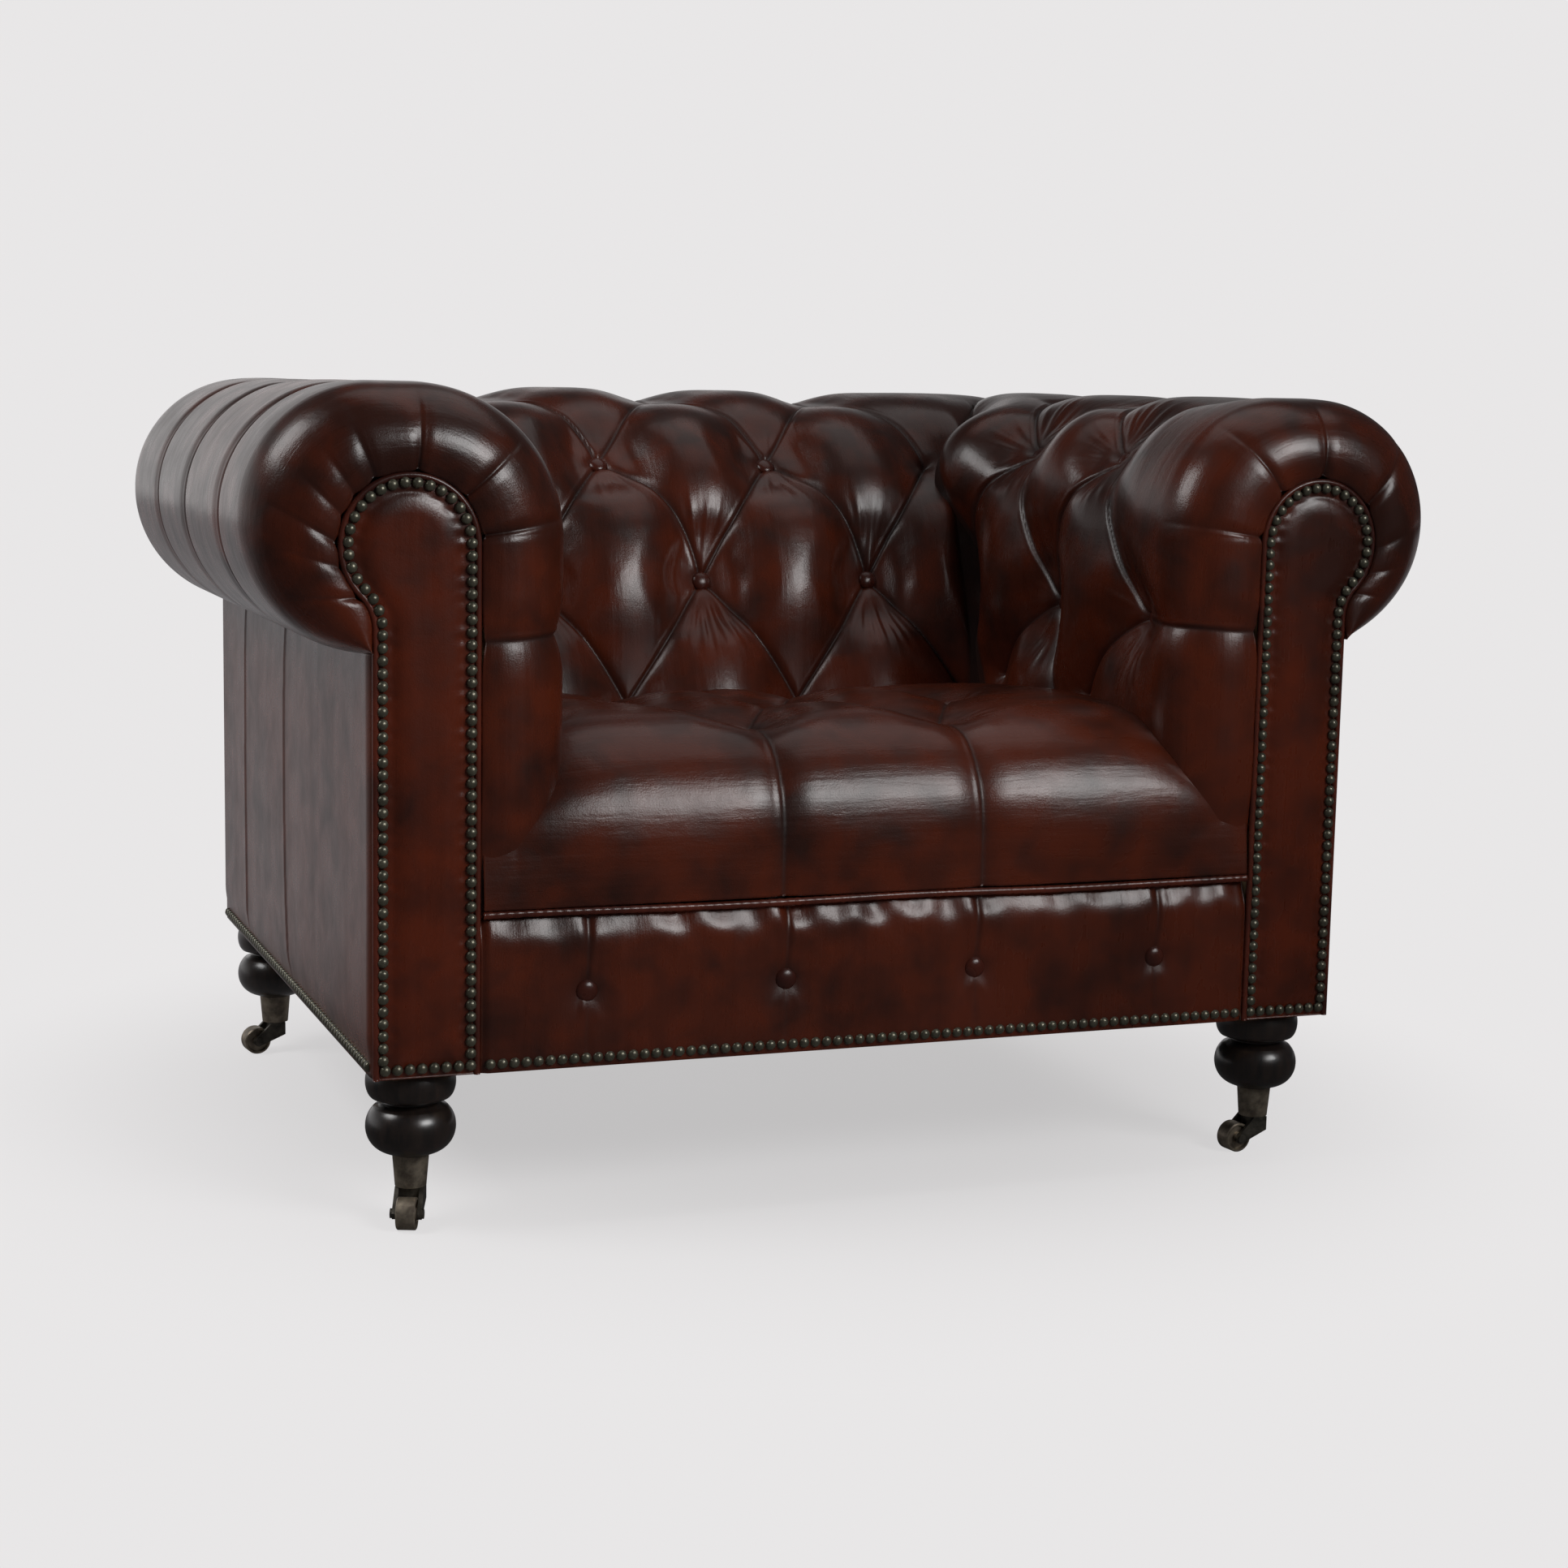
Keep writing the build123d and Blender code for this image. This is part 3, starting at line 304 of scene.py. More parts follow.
hide_relief = sums(hide, "ADD", sums(hide, "MULTIPLY", hide_pore, 0.10), sums(hide, "MULTIPLY", hide_fine, 0.22))
hide_relief = sums(hide, "ADD", hide_relief, sums(hide, "MULTIPLY", hide_crinkle, hide_in["Crinkle"]))
hide_gloss = sums(hide, "MULTIPLY_ADD", hide_streak, 0.10, ramp(hide, hide_cloud, 0.3, 0.7, 0.33, 0.25))
feed(hide, hide_out, Color=hide_colour, Height=sums(hide, "ADD", hide_relief, hide_swell),
     Roughness=sums(hide, "MULTIPLY_ADD", hide_in["Fold"], 0.25, hide_gloss))


def leather(name, pale, deep, crinkle=0.5, relief=0.0012):
    """Waxed hide: cloudy tones, painted shade near the folds, fine pores, soft swells and crinkles along its UV map."""
    finish, tree, shader = new_finish(name)
    fold = put(tree, "Attribute", {"attribute_name": "fold"}).outputs["Fac"]
    look = use_group(tree, hide, Pale=pale, Deep=deep, Fold=fold, Crinkle=crinkle)
    feed(tree, shader, Base_Color=look["Color"], Roughness=look["Roughness"], Specular_IOR_Level=0.30, Coat_Weight=0.10,
         Coat_Roughness=0.19, Normal=bumped(tree, look["Height"], 0.5, relief))
    return finish


def smooth(low, high, value):
    """0 below low, 1 above high and an even S between."""
    k = np.clip((value - low) / (high - low), 0, 1)
    return k * k * (3 - 2 * k)


def sewn_pull(t, s, pleats, buttons):
    """How far pleats and buttons pull a padded cover in, how near each place is to a fold, from 0 to 1, and its
    distance from the nearest one.
    A pleat runs between two places (t, s), bowed to the left of its way by 4 bow k (1 - k) at a share k of its length.
    At a distance d its pull is w depth with w = (1 - d / reach)^2, and depth goes evenly from one end to the other,
    less a fifth in the middle. The sum S of the pulls levels off as S / (1 + (S / D)^4)^(1/4), with D 1.2 times the
    mean depth by w, which leaves round pillows between the pleats. A crease of 0.2 depth e^(-d / 4 mm) goes on top, and
    on one side of the pleat the leather laps over and stands up by 1.3 mm e^(-((d - 4 mm) / 2.6 mm)^2). A button at a
    distance b pulls by pit e^(-(b / 21 mm)^1.5) and joins the rest as the fourth root of the sum of fourth powers."""
    total, weight, crease = np.zeros_like(t), np.full_like(t, 1e-9), np.zeros_like(t)
    near, lap, apart = np.zeros_like(t), np.zeros_like(t), np.ones_like(t)
    for t0, s0, t1, s1, depth0, depth1, reach, bow in pleats:
        length = np.hypot(t1 - t0, s1 - s0)
        run_t, run_s = (t1 - t0) / length, (s1 - s0) / length
        along = (t - t0) * run_t + (s - s0) * run_s
        share = np.clip(along / length, 0, 1)
        beside = (s - s0) * run_t - (t - t0) * run_s - 4 * bow * share * (1 - share)
        d = np.hypot(beside, along - share * length)
        depth = (depth0 + (depth1 - depth0) * share) * (1 - 0.2 * np.sin(np.pi * share))
        w = np.clip(1 - d / reach, 0, 1) ** 2
        total, weight = total + w * depth, weight + w
        apart = np.minimum(apart, d)
        crease = np.maximum(crease, 0.2 * depth * np.exp(-d / 0.004))
        strong = np.clip(depth / 0.005, 0, 1)
        # near later darkens the leather as painted shade along pleats and round buttons.
        near = np.maximum(near, np.exp(-d / 0.0024) * strong)
        over = (beside < 0) * np.exp(-((d - 0.004) / 0.0026) ** 2) * np.sin(np.pi * share) ** 0.5
        lap = np.maximum(lap, 0.0013 * strong * over)
    level = 1.2 * total / weight + 1e-9
    total = (total / (1 + (total / level) ** 4) ** 0.25 + crease) ** 4
    for t0, s0, pit in buttons:
        b = np.hypot(t - t0, s - s0)
        apart = np.minimum(apart, b)
        total += (pit * np.exp(-(b / 0.021) ** 1.5)) ** 4
        near = np.maximum(near, 0.7 * np.exp(-(b / 0.014) ** 2))
    return total ** 0.25 - lap, near, apart


def fan_wrinkles(t, s, fans, seed):
    """Small folds that run out from buttons. Each fan has its middle (t, s), the angle it opens to, half its spread,
    the number of folds, how far out they are strongest, and their height; a fold is a narrow ridge along one angle."""
    dice = np.random.default_rng(seed)
    rise = np.zeros_like(t)
    for t0, s0, way, spread, count, out, high in fans:
        b, turn = np.hypot(t - t0, s - s0), np.arctan2(s - s0, t - t0)
        angles = way + spread * (np.linspace(-1, 1, count) + dice.uniform(-0.6, 0.6, count) / count)
        for angle, size, reach in zip(angles, dice.uniform(0.45, 1, count), dice.uniform(0.8, 1.25, count)):
            apart = np.angle(np.exp(1j * (turn - angle))) * b
            ring = np.exp(-((b - out * reach) / (0.55 * out)) ** 2)
            rise += high * size * ring * np.exp(-(apart / 0.0042) ** 2)
    return rise


def spline_weights(fine, coarse):
    """Cubic B-spline weights that carry values from a coarse row of points to a fine one."""
    far = np.abs(np.linspace(0, coarse - 1, fine)[:, None] - np.arange(coarse))
    weight = np.where(far < 1, 2 / 3 - far**2 + far**3 / 2, np.clip(2 - far, 0, None) ** 3 / 6)
    return weight / weight.sum(1, keepdims=True)


def billow(points, held, away, push, most):
    """Cloth simulation of a cover over its filling. Every fourth point of the grid becomes a piece of cloth, fixed
    where held is true, that air pressure swells for some frames. The movement, no more than a few millimetres, comes
    back to the fine grid through a cubic B-spline."""
    rows, columns = (np.round(np.linspace(0, n - 1, n // 4)).astype(int) for n in points.shape[:2])
    start = points[np.ix_(rows, columns)]
    fixed = held[np.ix_(rows, columns)].copy()
    fixed[[0, -1]] = True
    fixed[:, [0, -1]] = True
    piece = lay_surface("billow", start, away=away)
    piece.vertex_groups.new(name="held").add(np.flatnonzero(fixed).tolist(), 1.0, "REPLACE")
    cloth = piece.modifiers.new("Cloth", "CLOTH")
    cloth.settings.quality, cloth.settings.mass, cloth.settings.air_damping = 5, 0.3, 3.0
    cloth.settings.tension_stiffness, cloth.settings.compression_stiffness = 12.0, 8.0
    cloth.settings.shear_stiffness, cloth.settings.bending_stiffness = 5.0, 0.6
    cloth.settings.vertex_group_mass = "held"
    cloth.settings.use_pressure, cloth.settings.uniform_pressure_force = True, push
    cloth.settings.effector_weights.gravity = 0.0
    cloth.collision_settings.use_collision = False
    cloth.point_cache.frame_start, cloth.point_cache.frame_end = 1, 20
    for step in range(1, 17):
        bpy.context.scene.frame_set(step)
    result = piece.evaluated_get(bpy.context.evaluated_depsgraph_get()).data
    moved = np.empty(len(result.vertices) * 3, np.float32)
    result.vertices.foreach_get("co", moved)
    shift = moved.reshape(start.shape).astype(float) - start
    length = np.linalg.norm(shift, axis=-1, keepdims=True)
    shift = shift * np.minimum(1, most / (length + 1e-9))
    bpy.context.scene.frame_set(1)
    mesh = piece.data
    bpy.data.objects.remove(piece)
    bpy.data.meshes.remove(mesh)
    across, along = spline_weights(points.shape[0], len(rows)), spline_weights(points.shape[1], len(columns))
    return points + np.einsum("ia,abk,jb->ijk", across, shift, along, optimize=True)


def outward(points, guide):
    """Unit normals of a grid of points from the cross product of its two directions, on the side that guide mostly
    points to."""
    normal = np.cross(np.gradient(points, axis=0), np.gradient(points, axis=1))
    normal /= np.linalg.norm(normal, axis=-1, keepdims=True) + 1e-12
    return normal * np.sign((normal * guide).sum())


def lifted(points, guide, rise):
    """Points moved along the surface's own normals."""
    return points + outward(points, guide) * rise[..., None]


oxblood = leather("oxblood_leather", (0.068, 0.0118, 0.0042, 1), (0.021, 0.0054, 0.0030, 1), crinkle=0.7)
nose_r, nose_y, nose_z = 0.105, -0.344, 0.357
nose_arc = nose_r * np.pi / 2
front_row, rear_row = (nose_arc + y - nose_y for y in (-0.335, -0.143))
half_pitch, two_across, three_across = 0.1, (-0.1, 0.1), (-0.2, 0.0, 0.2)
seat_pit, seat_deep, seat_wide = 0.034, 0.018, 0.088
seat_buttons = [(x, front_row, seat_pit) for x in two_across] + [(x, rear_row, seat_pit) for x in three_across]
seat_pleats = []
for x in two_across:
    seat_pleats += [(x, front_row, x * 1.02, -0.058, 0.010, 0.004, 0.034, 0.0)]
    for side in (-half_pitch, half_pitch):
        seat_pleats += [(x, front_row, x + side, rear_row, seat_deep, seat_deep, seat_wide, 0.0),
                        (x + side, rear_row, x, rear_row + 0.18, seat_deep, seat_deep, seat_wide, 0.0)]


def seat_line(s):
    """Middle line of the seat from the welt up: straight, a quarter round nose, then a low crown that falls to the
    back."""
    angle = np.pi - np.clip(s, 0, nose_arc) / nose_r
    y = nose_y + nose_r * np.cos(angle) + np.clip(s - nose_arc, 0, None)
    k = np.clip((y - nose_y) / 0.37, 0, None)
    z = nose_z + nose_r * np.sin(angle) + np.minimum(s, 0) - 0.022 * k + 0.032 * k * (1 - k)
    return y, z


seat_s = np.linspace(-0.0575, nose_arc + 0.40, 270)
seat_share = np.linspace(-1, 1, 320)[:, None]
seat_y, seat_z = seat_line(seat_s)
seat_x = seat_share * (0.330 + 0.0585 * smooth(0.16, 0.02, seat_s))
seat_base = grid_of(seat_x, seat_y, seat_z)
seat_run = np.broadcast_to(seat_s, seat_x.shape)
seat_in, seat_fold, seat_apart = sewn_pull(seat_x, seat_run, seat_pleats, seat_buttons)
# Beside the arms the seat dips by 11 mm into a crease, which goes outwards round the bands at the front of the arms.
band_gap = np.sqrt(1 - np.clip((-0.393 - seat_base[..., 1]) / 0.061, 0, 1) ** 2)
seat_edge = 0.307 + 0.084 * (1 - band_gap)
seat_tuck = np.clip((seat_run + 0.05) / 0.10, 0, 1)
seat_in = seat_in + 0.011 * seat_tuck * np.exp(-np.clip(seat_edge - np.abs(seat_x), 0, 1) / 0.022)
seat_fans = [(x, s, way, 0.6, 4, 0.034, 0.0011) for x, s, pit in seat_buttons for way in (0.0, np.pi)]
seat_in = seat_in - fan_wrinkles(seat_x, seat_run, seat_fans, 3)
seat_skin = lifted(seat_base, np.array([0, -0.7, 0.7]), 0.001 - seat_in)
sewn_down, corner_down, air_push = 0.006, 0.004, 2.0
seat_skin = billow(seat_skin, seat_apart < sewn_down, (0, -0.7, 0.7), air_push, most=0.008)
seat_floor = grid_of(seat_share * np.array([0.325, 0.385]), [0.05, -0.446], [0.300, 0.2995])
seat = lay_surface("seat_cushion", np.concatenate([seat_skin, seat_floor], axis=1), wrap=True,
                   cover=grid_of(seat_run, seat_x), fold=seat_fold)
fit(seat, oxblood, "seat_pad")

# Inside arms: leather over hair on webbing, up the inside, over the rolled top and down to the outside panel.
# The front ends in a padded band pleated round the keyhole facing; the rear turns the corner to meet the back.
shoulder_r, shoulder_x, shoulder_z = 0.133, 0.440, 0.630
back_r, back_y, back_z, lean = 0.230, 0.301, 0.533, np.radians(20)
roll_r, roll_z, roll_flat = 0.116, 0.647, 0.036
arm_rail, back_rail = (shoulder_x, shoulder_z, shoulder_r, 0.0), (back_y, back_z, back_r, lean)
corner_r, turn_x, turn_y = 0.200, 0.392, 0.253
band_y, band_deep, band_arc, band_turn = -0.393, 0.060, 0.105, 1.25
band_end = band_y - band_turn * band_arc
head_r, head_x, head_z = 0.064, 0.455, 0.626
neck_r, neck_x = 0.040, 0.529
neck_turn = np.arccos((neck_x - head_x) / (head_r + neck_r))
neck_z = head_z - (head_r + neck_r) * np.sin(neck_turn)
facing_in, facing_out, body_low = 0.391, 0.489, 0.150


def rail_line(s, rail):
    """Section of an arm or the back, s metres above the foot of its shoulder: straight inside face at a lean, round
    shoulder, flat top and the round of the roll. Gives how far out it is, and the height. A rail is the middle of the
    shoulder's round, its height, its radius and the lean."""
    at, high, radius, slope = rail
    arc = radius * (np.pi / 2 - slope)
    shoulder = np.pi - slope - np.clip(s, 0, arc) / radius
    over = np.pi / 2 - np.clip(s - arc - roll_flat, 0, None) / roll_r
    inside, low = s < arc + roll_flat, np.minimum(s, 0)
    out = np.where(inside, at + radius * np.cos(shoulder) + low * np.sin(slope) + np.clip(s - arc, 0, roll_flat),
                   at + roll_flat + roll_r * np.cos(over))
    z = np.where(inside, high + radius * np.sin(shoulder) + low * np.cos(slope), roll_z + roll_r * np.sin(over))
    return out, z


def rail_marks(rail, wall):
    """Lengths s at which a section's round shoulder ends and at which its roll comes down to a wall."""
    at, high, radius, slope = rail
    arc = radius * (np.pi / 2 - slope)
    return arc, arc + roll_flat + roll_r * (np.pi / 2 + np.arccos((wall - at - roll_flat) / roll_r))


def rail_face(z, rail):
    """How far out the inside face of an arm or the back is at a height: its lean, then its round shoulder."""
    at, high, radius, slope = rail
    foot, foot_z = at - radius * np.cos(slope), high + radius * np.sin(slope)
    rise = np.clip(z - high, 0, radius)
    return np.where(z < foot_z, foot - (foot_z - z) * np.tan(slope), at - np.sqrt(radius**2 - rise**2))


def corner_reach(out, z, rail, other, turn, other_turn):
    """How far each row of a section runs on into the corner: 35 mm past the other rail's inside face, and what comes on
    top for rows outside the corner's axis, which go 10 mm past the middle of its round."""
    at, high, radius, slope = rail
    beside = rail_face(high + np.sqrt(radius**2 - (at - turn) ** 2), other) + 0.035
    reach = np.where(out < turn, rail_face(z, other) + 0.035, beside)
    return reach, np.where(out < turn, 0, other_turn + corner_r * np.pi / 4 + 0.010 - beside)


def corner_swing(out, along):
    """The part of a section that lies outside the corner's axis swings round it. Gives how far it goes in and on."""
    beyond, swing = (out + np.sqrt(out**2 + 0.0002)) / 2, np.clip(along, 0, None) / corner_r
    return beyond * (1 - np.cos(swing)), beyond * np.sin(swing)


def corner_gap(out, along, z, section, other, turn, other_turn):
    """Distance of places from the fold in the corner: from the other rail's inside face, and for the part of the
    section outside the corner's axis from the middle of the round."""
    inside = rail_face(z, other) - along
    roll = ((out - turn) - (along - other_turn)) / np.sqrt(2)
    return inside + (roll - inside) * smooth(turn - 0.03, turn + 0.03, section)


def keyhole(q, inset=0.0):
    """Edge of a facing at an inset, q metres from where its inner side meets the round head: straight below that,
    round the head, back round the neck and straight down the outer side. Gives x and height on the right arm."""
    head, neck = head_r - inset, neck_r + inset
    round_head, round_neck = head * (np.pi + neck_turn), neck * neck_turn
    a = np.pi - np.clip(q, 0, round_head) / head
    b = np.pi - neck_turn + np.clip(q - round_head, 0, round_neck) / neck
    x = np.where(q < round_head, head_x + head * np.cos(a), neck_x + neck * np.cos(b))
    z = np.where(q < round_head, head_z + head * np.sin(a) + np.minimum(q, 0),
                 neck_z + neck * np.sin(b) - np.clip(q - round_head - round_neck, 0, None))
    return x, z


def arm_place(t, u, z, front_u, front_z):
    """Right arm at t along it: from t = band_y forward the section (u, z) draws in to (front_u, front_z) on a little
    more than a quarter round and then runs straight back behind the facing. Behind the corner's axis the part outside
    that axis swings round it."""
    beta = np.clip((band_y - t) / band_arc, 0, band_turn) * np.pi / 2
    share = (1 - np.cos(beta)) / (1 - np.cos(band_turn * np.pi / 2))
    x, z = u + (front_u - u) * share, z + (front_z - z) * share
    y = np.clip(t, band_y, turn_y) - band_deep * np.sin(beta)
    y = y + (0.006 * share + 0.009 * np.sin(np.pi * share)) * smooth(0.42, 0.30, z)
    y = y + 1.2 * np.clip(band_end - t, 0, None)
    inward, onward = corner_swing(x - turn_x, t - turn_y)
    return grid_of(x - inward, y + onward, z)


def corner_sewn(t, s, pleats, buttons, fans, seed, gap):
    """Pleats, buttons and fans of wrinkles together with the deep fold where arm and back meet, at a distance gap from
    it. Gives how far they pull the cover in, how near a fold is, and the distance from the nearest pleat or button.
    The corner pulls by 9 mm (0.38 e^(-gap / 6 mm) + 0.62 (1 - gap / 50 mm)^2) and joins the rest as the fourth root of
    the sum of fourth powers."""
    pull, near, apart = sewn_pull(t, s, pleats, buttons)
    d = np.clip(gap, 0, None)
    corner_in = 0.009 * (0.38 * np.exp(-d / 0.006) + 0.62 * np.clip(1 - d / 0.050, 0, 1) ** 2)
    pull = (pull**4 + corner_in**4) ** 0.25 - fan_wrinkles(t, s, fans, seed)
    return pull, np.maximum(near, np.exp(-d / 0.004)), apart


arm_arc, arm_end = rail_marks(arm_rail, facing_out)
arm_low, arm_high = -0.086, shoulder_r * np.radians(46)
lower_at, upper_at, arm_half = (-0.327, -0.119, 0.089), (-0.191, 0.017), 0.104
pit_deep, pleat_deep, arm_wide, fall_wide = 0.038, 0.028, 0.092, 0.080
arm_buttons = [(lower_at[0], arm_low, 0.036), (lower_at[1], arm_low, pit_deep)]
arm_buttons += [(y, arm_high, pit_deep) for y in upper_at]
arm_pleats = [(lower_at[0], arm_low, band_end, arm_low, 0.014, 0.004, 0.040, 0.0)]
for y in lower_at:
    arm_pleats += [(y, arm_low, y + arm_half, arm_high, pleat_deep, pleat_deep, arm_wide, -0.018),
                   (y, arm_low, y + 0.110, arm_low - 0.090, pleat_deep, 0.026, fall_wide, 0.014)]
for y in lower_at[1:]:
    arm_pleats += [(y, arm_low, y - arm_half, arm_high, pleat_deep, pleat_deep, arm_wide, -0.026),
                   (y, arm_low, y - 0.036, arm_low - 0.130, pleat_deep, 0.024, 0.070, 0.004)]
for y in upper_at:
    arm_pleats += [(y, arm_high, y - arm_half, arm_arc, pleat_deep, 0.012, fall_wide, -0.012),
                   (y, arm_high, y + arm_half, arm_arc, pleat_deep, 0.012, fall_wide, 0.0)]
for near, far in ((-0.295, -0.273), (-0.087, -0.078), (0.121, 0.085)):
    arm_pleats += [(near, arm_arc, far, arm_end, 0.009, 0.002, 0.024, 0.0)]
arm_fans = [(t, s, way, 0.5, 5, 0.045, 0.0016) for t, s, pit in arm_buttons for way in (np.pi / 2, -np.pi / 2)]
arm_fans += [(t, s, way, 0.4, 4, 0.036, 0.0010) for t, s, pit in arm_buttons for way in (0.0, np.pi)]
band_pleats = {1: ((0.015, -0.400, 0.006), (0.125, -0.400, 0.007), (0.230, -0.405, 0.007), (0.339, -0.405, 0.010),
                   (0.42, -0.43, 0.003), (0.465, -0.44, 0.003), (0.51, -0.435, 0.003)),
               -1: ((0.018, -0.395, 0.008), (0.103, -0.400, 0.006), (0.212, -0.410, 0.006), (0.285, -0.425, 0.006),
                    (0.325, -0.44, 0.004), (0.362, -0.43, 0.004), (0.405, -0.41, 0.005), (0.445, -0.425, 0.003),
                    (0.50, -0.42, 0.005))}
arm_s = np.interp(np.linspace(0, 1, 420), (0, 0.08, 0.72, 1), (-0.334, -0.19, 0.26, arm_end))
arm_u, arm_z = rail_line(arm_s, arm_rail)
edge_u, edge_z = keyhole(np.interp(arm_s, (-0.4, 0, 0.227, arm_end), (-0.4, 0, 0.1005, 0.3033)))
core_u, core_z = np.array([(0.487, 0.640), (0.449, 0.688), (0.393, 0.688), (0.353, 0.650), (0.353, 0.297)]).T
core_front = np.array([(0.484, 0.570), (0.470, 0.655), (0.440, 0.655), (0.402, 0.620), (0.402, 0.297)]).T
arm_rear, arm_more = corner_reach(arm_u, arm_z, arm_rail, back_rail, turn_x, turn_y)
core_rear, core_more = np.array([0.27, 0.27, 0.24, 0.20, 0.07]), np.array([0.14, 0.14, 0, 0, 0])
arm_split = 0.95
arm_share = np.interp(np.linspace(0, 1, 400), (0, 0.82, 1), (0, arm_split, 1))[:, None]
arm_round = np.clip((arm_share - arm_split) / (1 - arm_split), 0, 1)
arm_front = band_end - 0.022
arm_t = arm_front + arm_share * (arm_rear - arm_front) + arm_round * arm_more
arm_run = np.broadcast_to(arm_s, arm_t.shape)
core_t = arm_front + arm_share * (core_rear - arm_front) + arm_round * core_more
core = arm_place(core_t, core_u, core_z, *core_front)
core[..., 1] = np.maximum(core[..., 1], -0.424)
places = arm_place(arm_t, arm_u, arm_z, edge_u, edge_z)
guide = places - grid_of(0.44, np.clip(arm_t, band_y + 0.03, turn_y), 0.60)
x, y, z = np.moveaxis(places, -1, 0)
gap = corner_gap(x, y, z, arm_u, back_rail, turn_x, turn_y)
# The arm is fuller by 26 mm on its shoulder, in front of the corner.
plump = 0.026 * np.exp(-((arm_t - 0.120) / 0.055) ** 2 - ((arm_run - 0.055) / 0.070) ** 2)
for side, word in ((1, "right"), (-1, "left")):
    band = [(band_end, at, end, at, deep * 0.6, 0.0, 0.018, 0.0) for at, end, deep in band_pleats[side]]
    pull, near, apart = corner_sewn(arm_t, arm_run, arm_pleats + band, arm_buttons, arm_fans, 11 + side, gap)
    rise = plump + 0.005 * smooth(-0.48, -0.36, arm_t) - pull * smooth(band_end - 0.016, band_end, arm_t)
    skin = lifted(places, guide, rise)
    held = (apart < sewn_down) | (arm_t < band_y + 0.01) | (gap < corner_down)
    skin = billow(skin, held, None, air_push, most=0.012)
    points = np.concatenate([skin, core], axis=1) * np.array([side, 1, 1])
    arm = lay_surface(word + "_arm_cushion", points, wrap=True, cover=grid_of(arm_t, arm_run), fold=near)
    fit(arm, oxblood, word + "_arm_pad")

# Inside back: leather over hair, leaning back, over the rolled top and down to the outside panel behind.
# Its buttons and pleats make two rows of diamonds; each end is folded into the corner beside an arm.
back_arc, back_end = rail_marks(back_rail, 0.350)
lean_z = back_z + back_r * np.sin(lean)
back_low, back_high = (0.566 - lean_z) / np.cos(lean), back_r * np.radians(29)
back_foot = (0.300 - lean_z) / np.cos(lean)


def back_place(t, v, z):
    """Back at t from its middle: straight between the corners' axes, then the part behind each axis swings round it."""
    inward, onward = corner_swing(v - turn_y, np.abs(t) - turn_x)
    return grid_of(np.sign(t) * (np.minimum(np.abs(t), turn_x) + onward), v - inward, z)


back_wide, tuck_x, back_fall = 0.086, 0.3, back_low - 0.140
back_buttons = [(x, back_low, pit_deep) for x in three_across] + [(x, back_high, pit_deep) for x in two_across]
back_pleats = [(x, back_arc, x, back_end, 0.014, 0.009, 0.060, 0.0) for x in three_across]
for x in three_across:
    back_pleats += [(x, back_low, x + half_pitch, back_fall, pleat_deep, 0.030, back_wide, 0.005),
                    (x, back_low, x - half_pitch, back_fall, pleat_deep, 0.030, back_wide, 0.0)]
for x in (-tuck_x, *two_across):
    back_pleats += [(x, back_high, x + half_pitch, back_arc, pleat_deep, 0.014, back_wide, 0.0),
                    (x, back_high, x + half_pitch, back_low, pleat_deep, pleat_deep, back_wide, 0.018)]
for x in (*two_across, tuck_x):
    back_pleats += [(x, back_high, x - half_pitch, back_arc, pleat_deep, 0.014, back_wide, -0.018),
                    (x, back_high, x - half_pitch, back_low, pleat_deep, pleat_deep, back_wide, 0.0)]
back_tucks = [(x, back_high, 0.034) for x in (-tuck_x, tuck_x)]
back_fans = [(x, back_low, -np.pi / 2, 0.52, 7, 0.050, 0.0032) for x in three_across]
back_fans += [(x, back_low, np.pi / 2, 0.28, 4, 0.055, 0.0018) for x in three_across]
back_fans += [(x, back_high, way, 0.45, 4, 0.040, 0.0014) for x in two_across for way in (np.pi / 2, -np.pi / 2)]
back_s = np.interp(np.linspace(0, 1, 390), (0, 0.08, 0.72, 1), (back_foot, -0.19, 0.26, back_end))
back_v, back_h = rail_line(back_s, back_rail)
back_reach, back_more = corner_reach(back_v, back_h, back_rail, arm_rail, turn_y, turn_x)
back_core_v, back_core_z = np.array([(0.348, 0.640), (0.310, 0.688), (0.254, 0.688), (0.254, 0.300)]).T
back_core_reach, back_core_more = np.array([0.43, 0.43, 0.40, 0.35]), np.array([0.11, 0.11, 0, 0])
back_split = 0.93
back_share = np.interp(np.linspace(-1, 1, 460), (-1, -0.81, 0.81, 1), (-1, -back_split, back_split, 1))[:, None]
back_round = np.sign(back_share) * np.clip((np.abs(back_share) - back_split) / (1 - back_split), 0, 1)
back_t = back_share * back_reach + back_round * back_more
back_run = np.broadcast_to(back_s, back_t.shape)
back_core = back_place(back_share * back_core_reach + back_round * back_core_more, back_core_v, back_core_z)
places = back_place(back_t, back_v, back_h)
guide = places - grid_of(np.clip(back_t, -turn_x, turn_x), 0.30, 0.55)
x, y, z = np.moveaxis(places, -1, 0)
gap = corner_gap(y, np.abs(x), z, back_v, arm_rail, turn_y, turn_x)
pull, near, apart = corner_sewn(back_t, back_run, back_pleats, back_buttons + back_tucks, back_fans, 23, gap)
skin = lifted(places, guide, 0.002 - pull)
skin = billow(skin, (apart < sewn_down) | (gap < corner_down), None, air_push, most=0.012)
back = lay_surface("back_cushion", np.concatenate([skin, back_core], axis=1), wrap=True,
                   cover=grid_of(back_t, back_run), fold=near)
fit(back, oxblood, "back_pad")

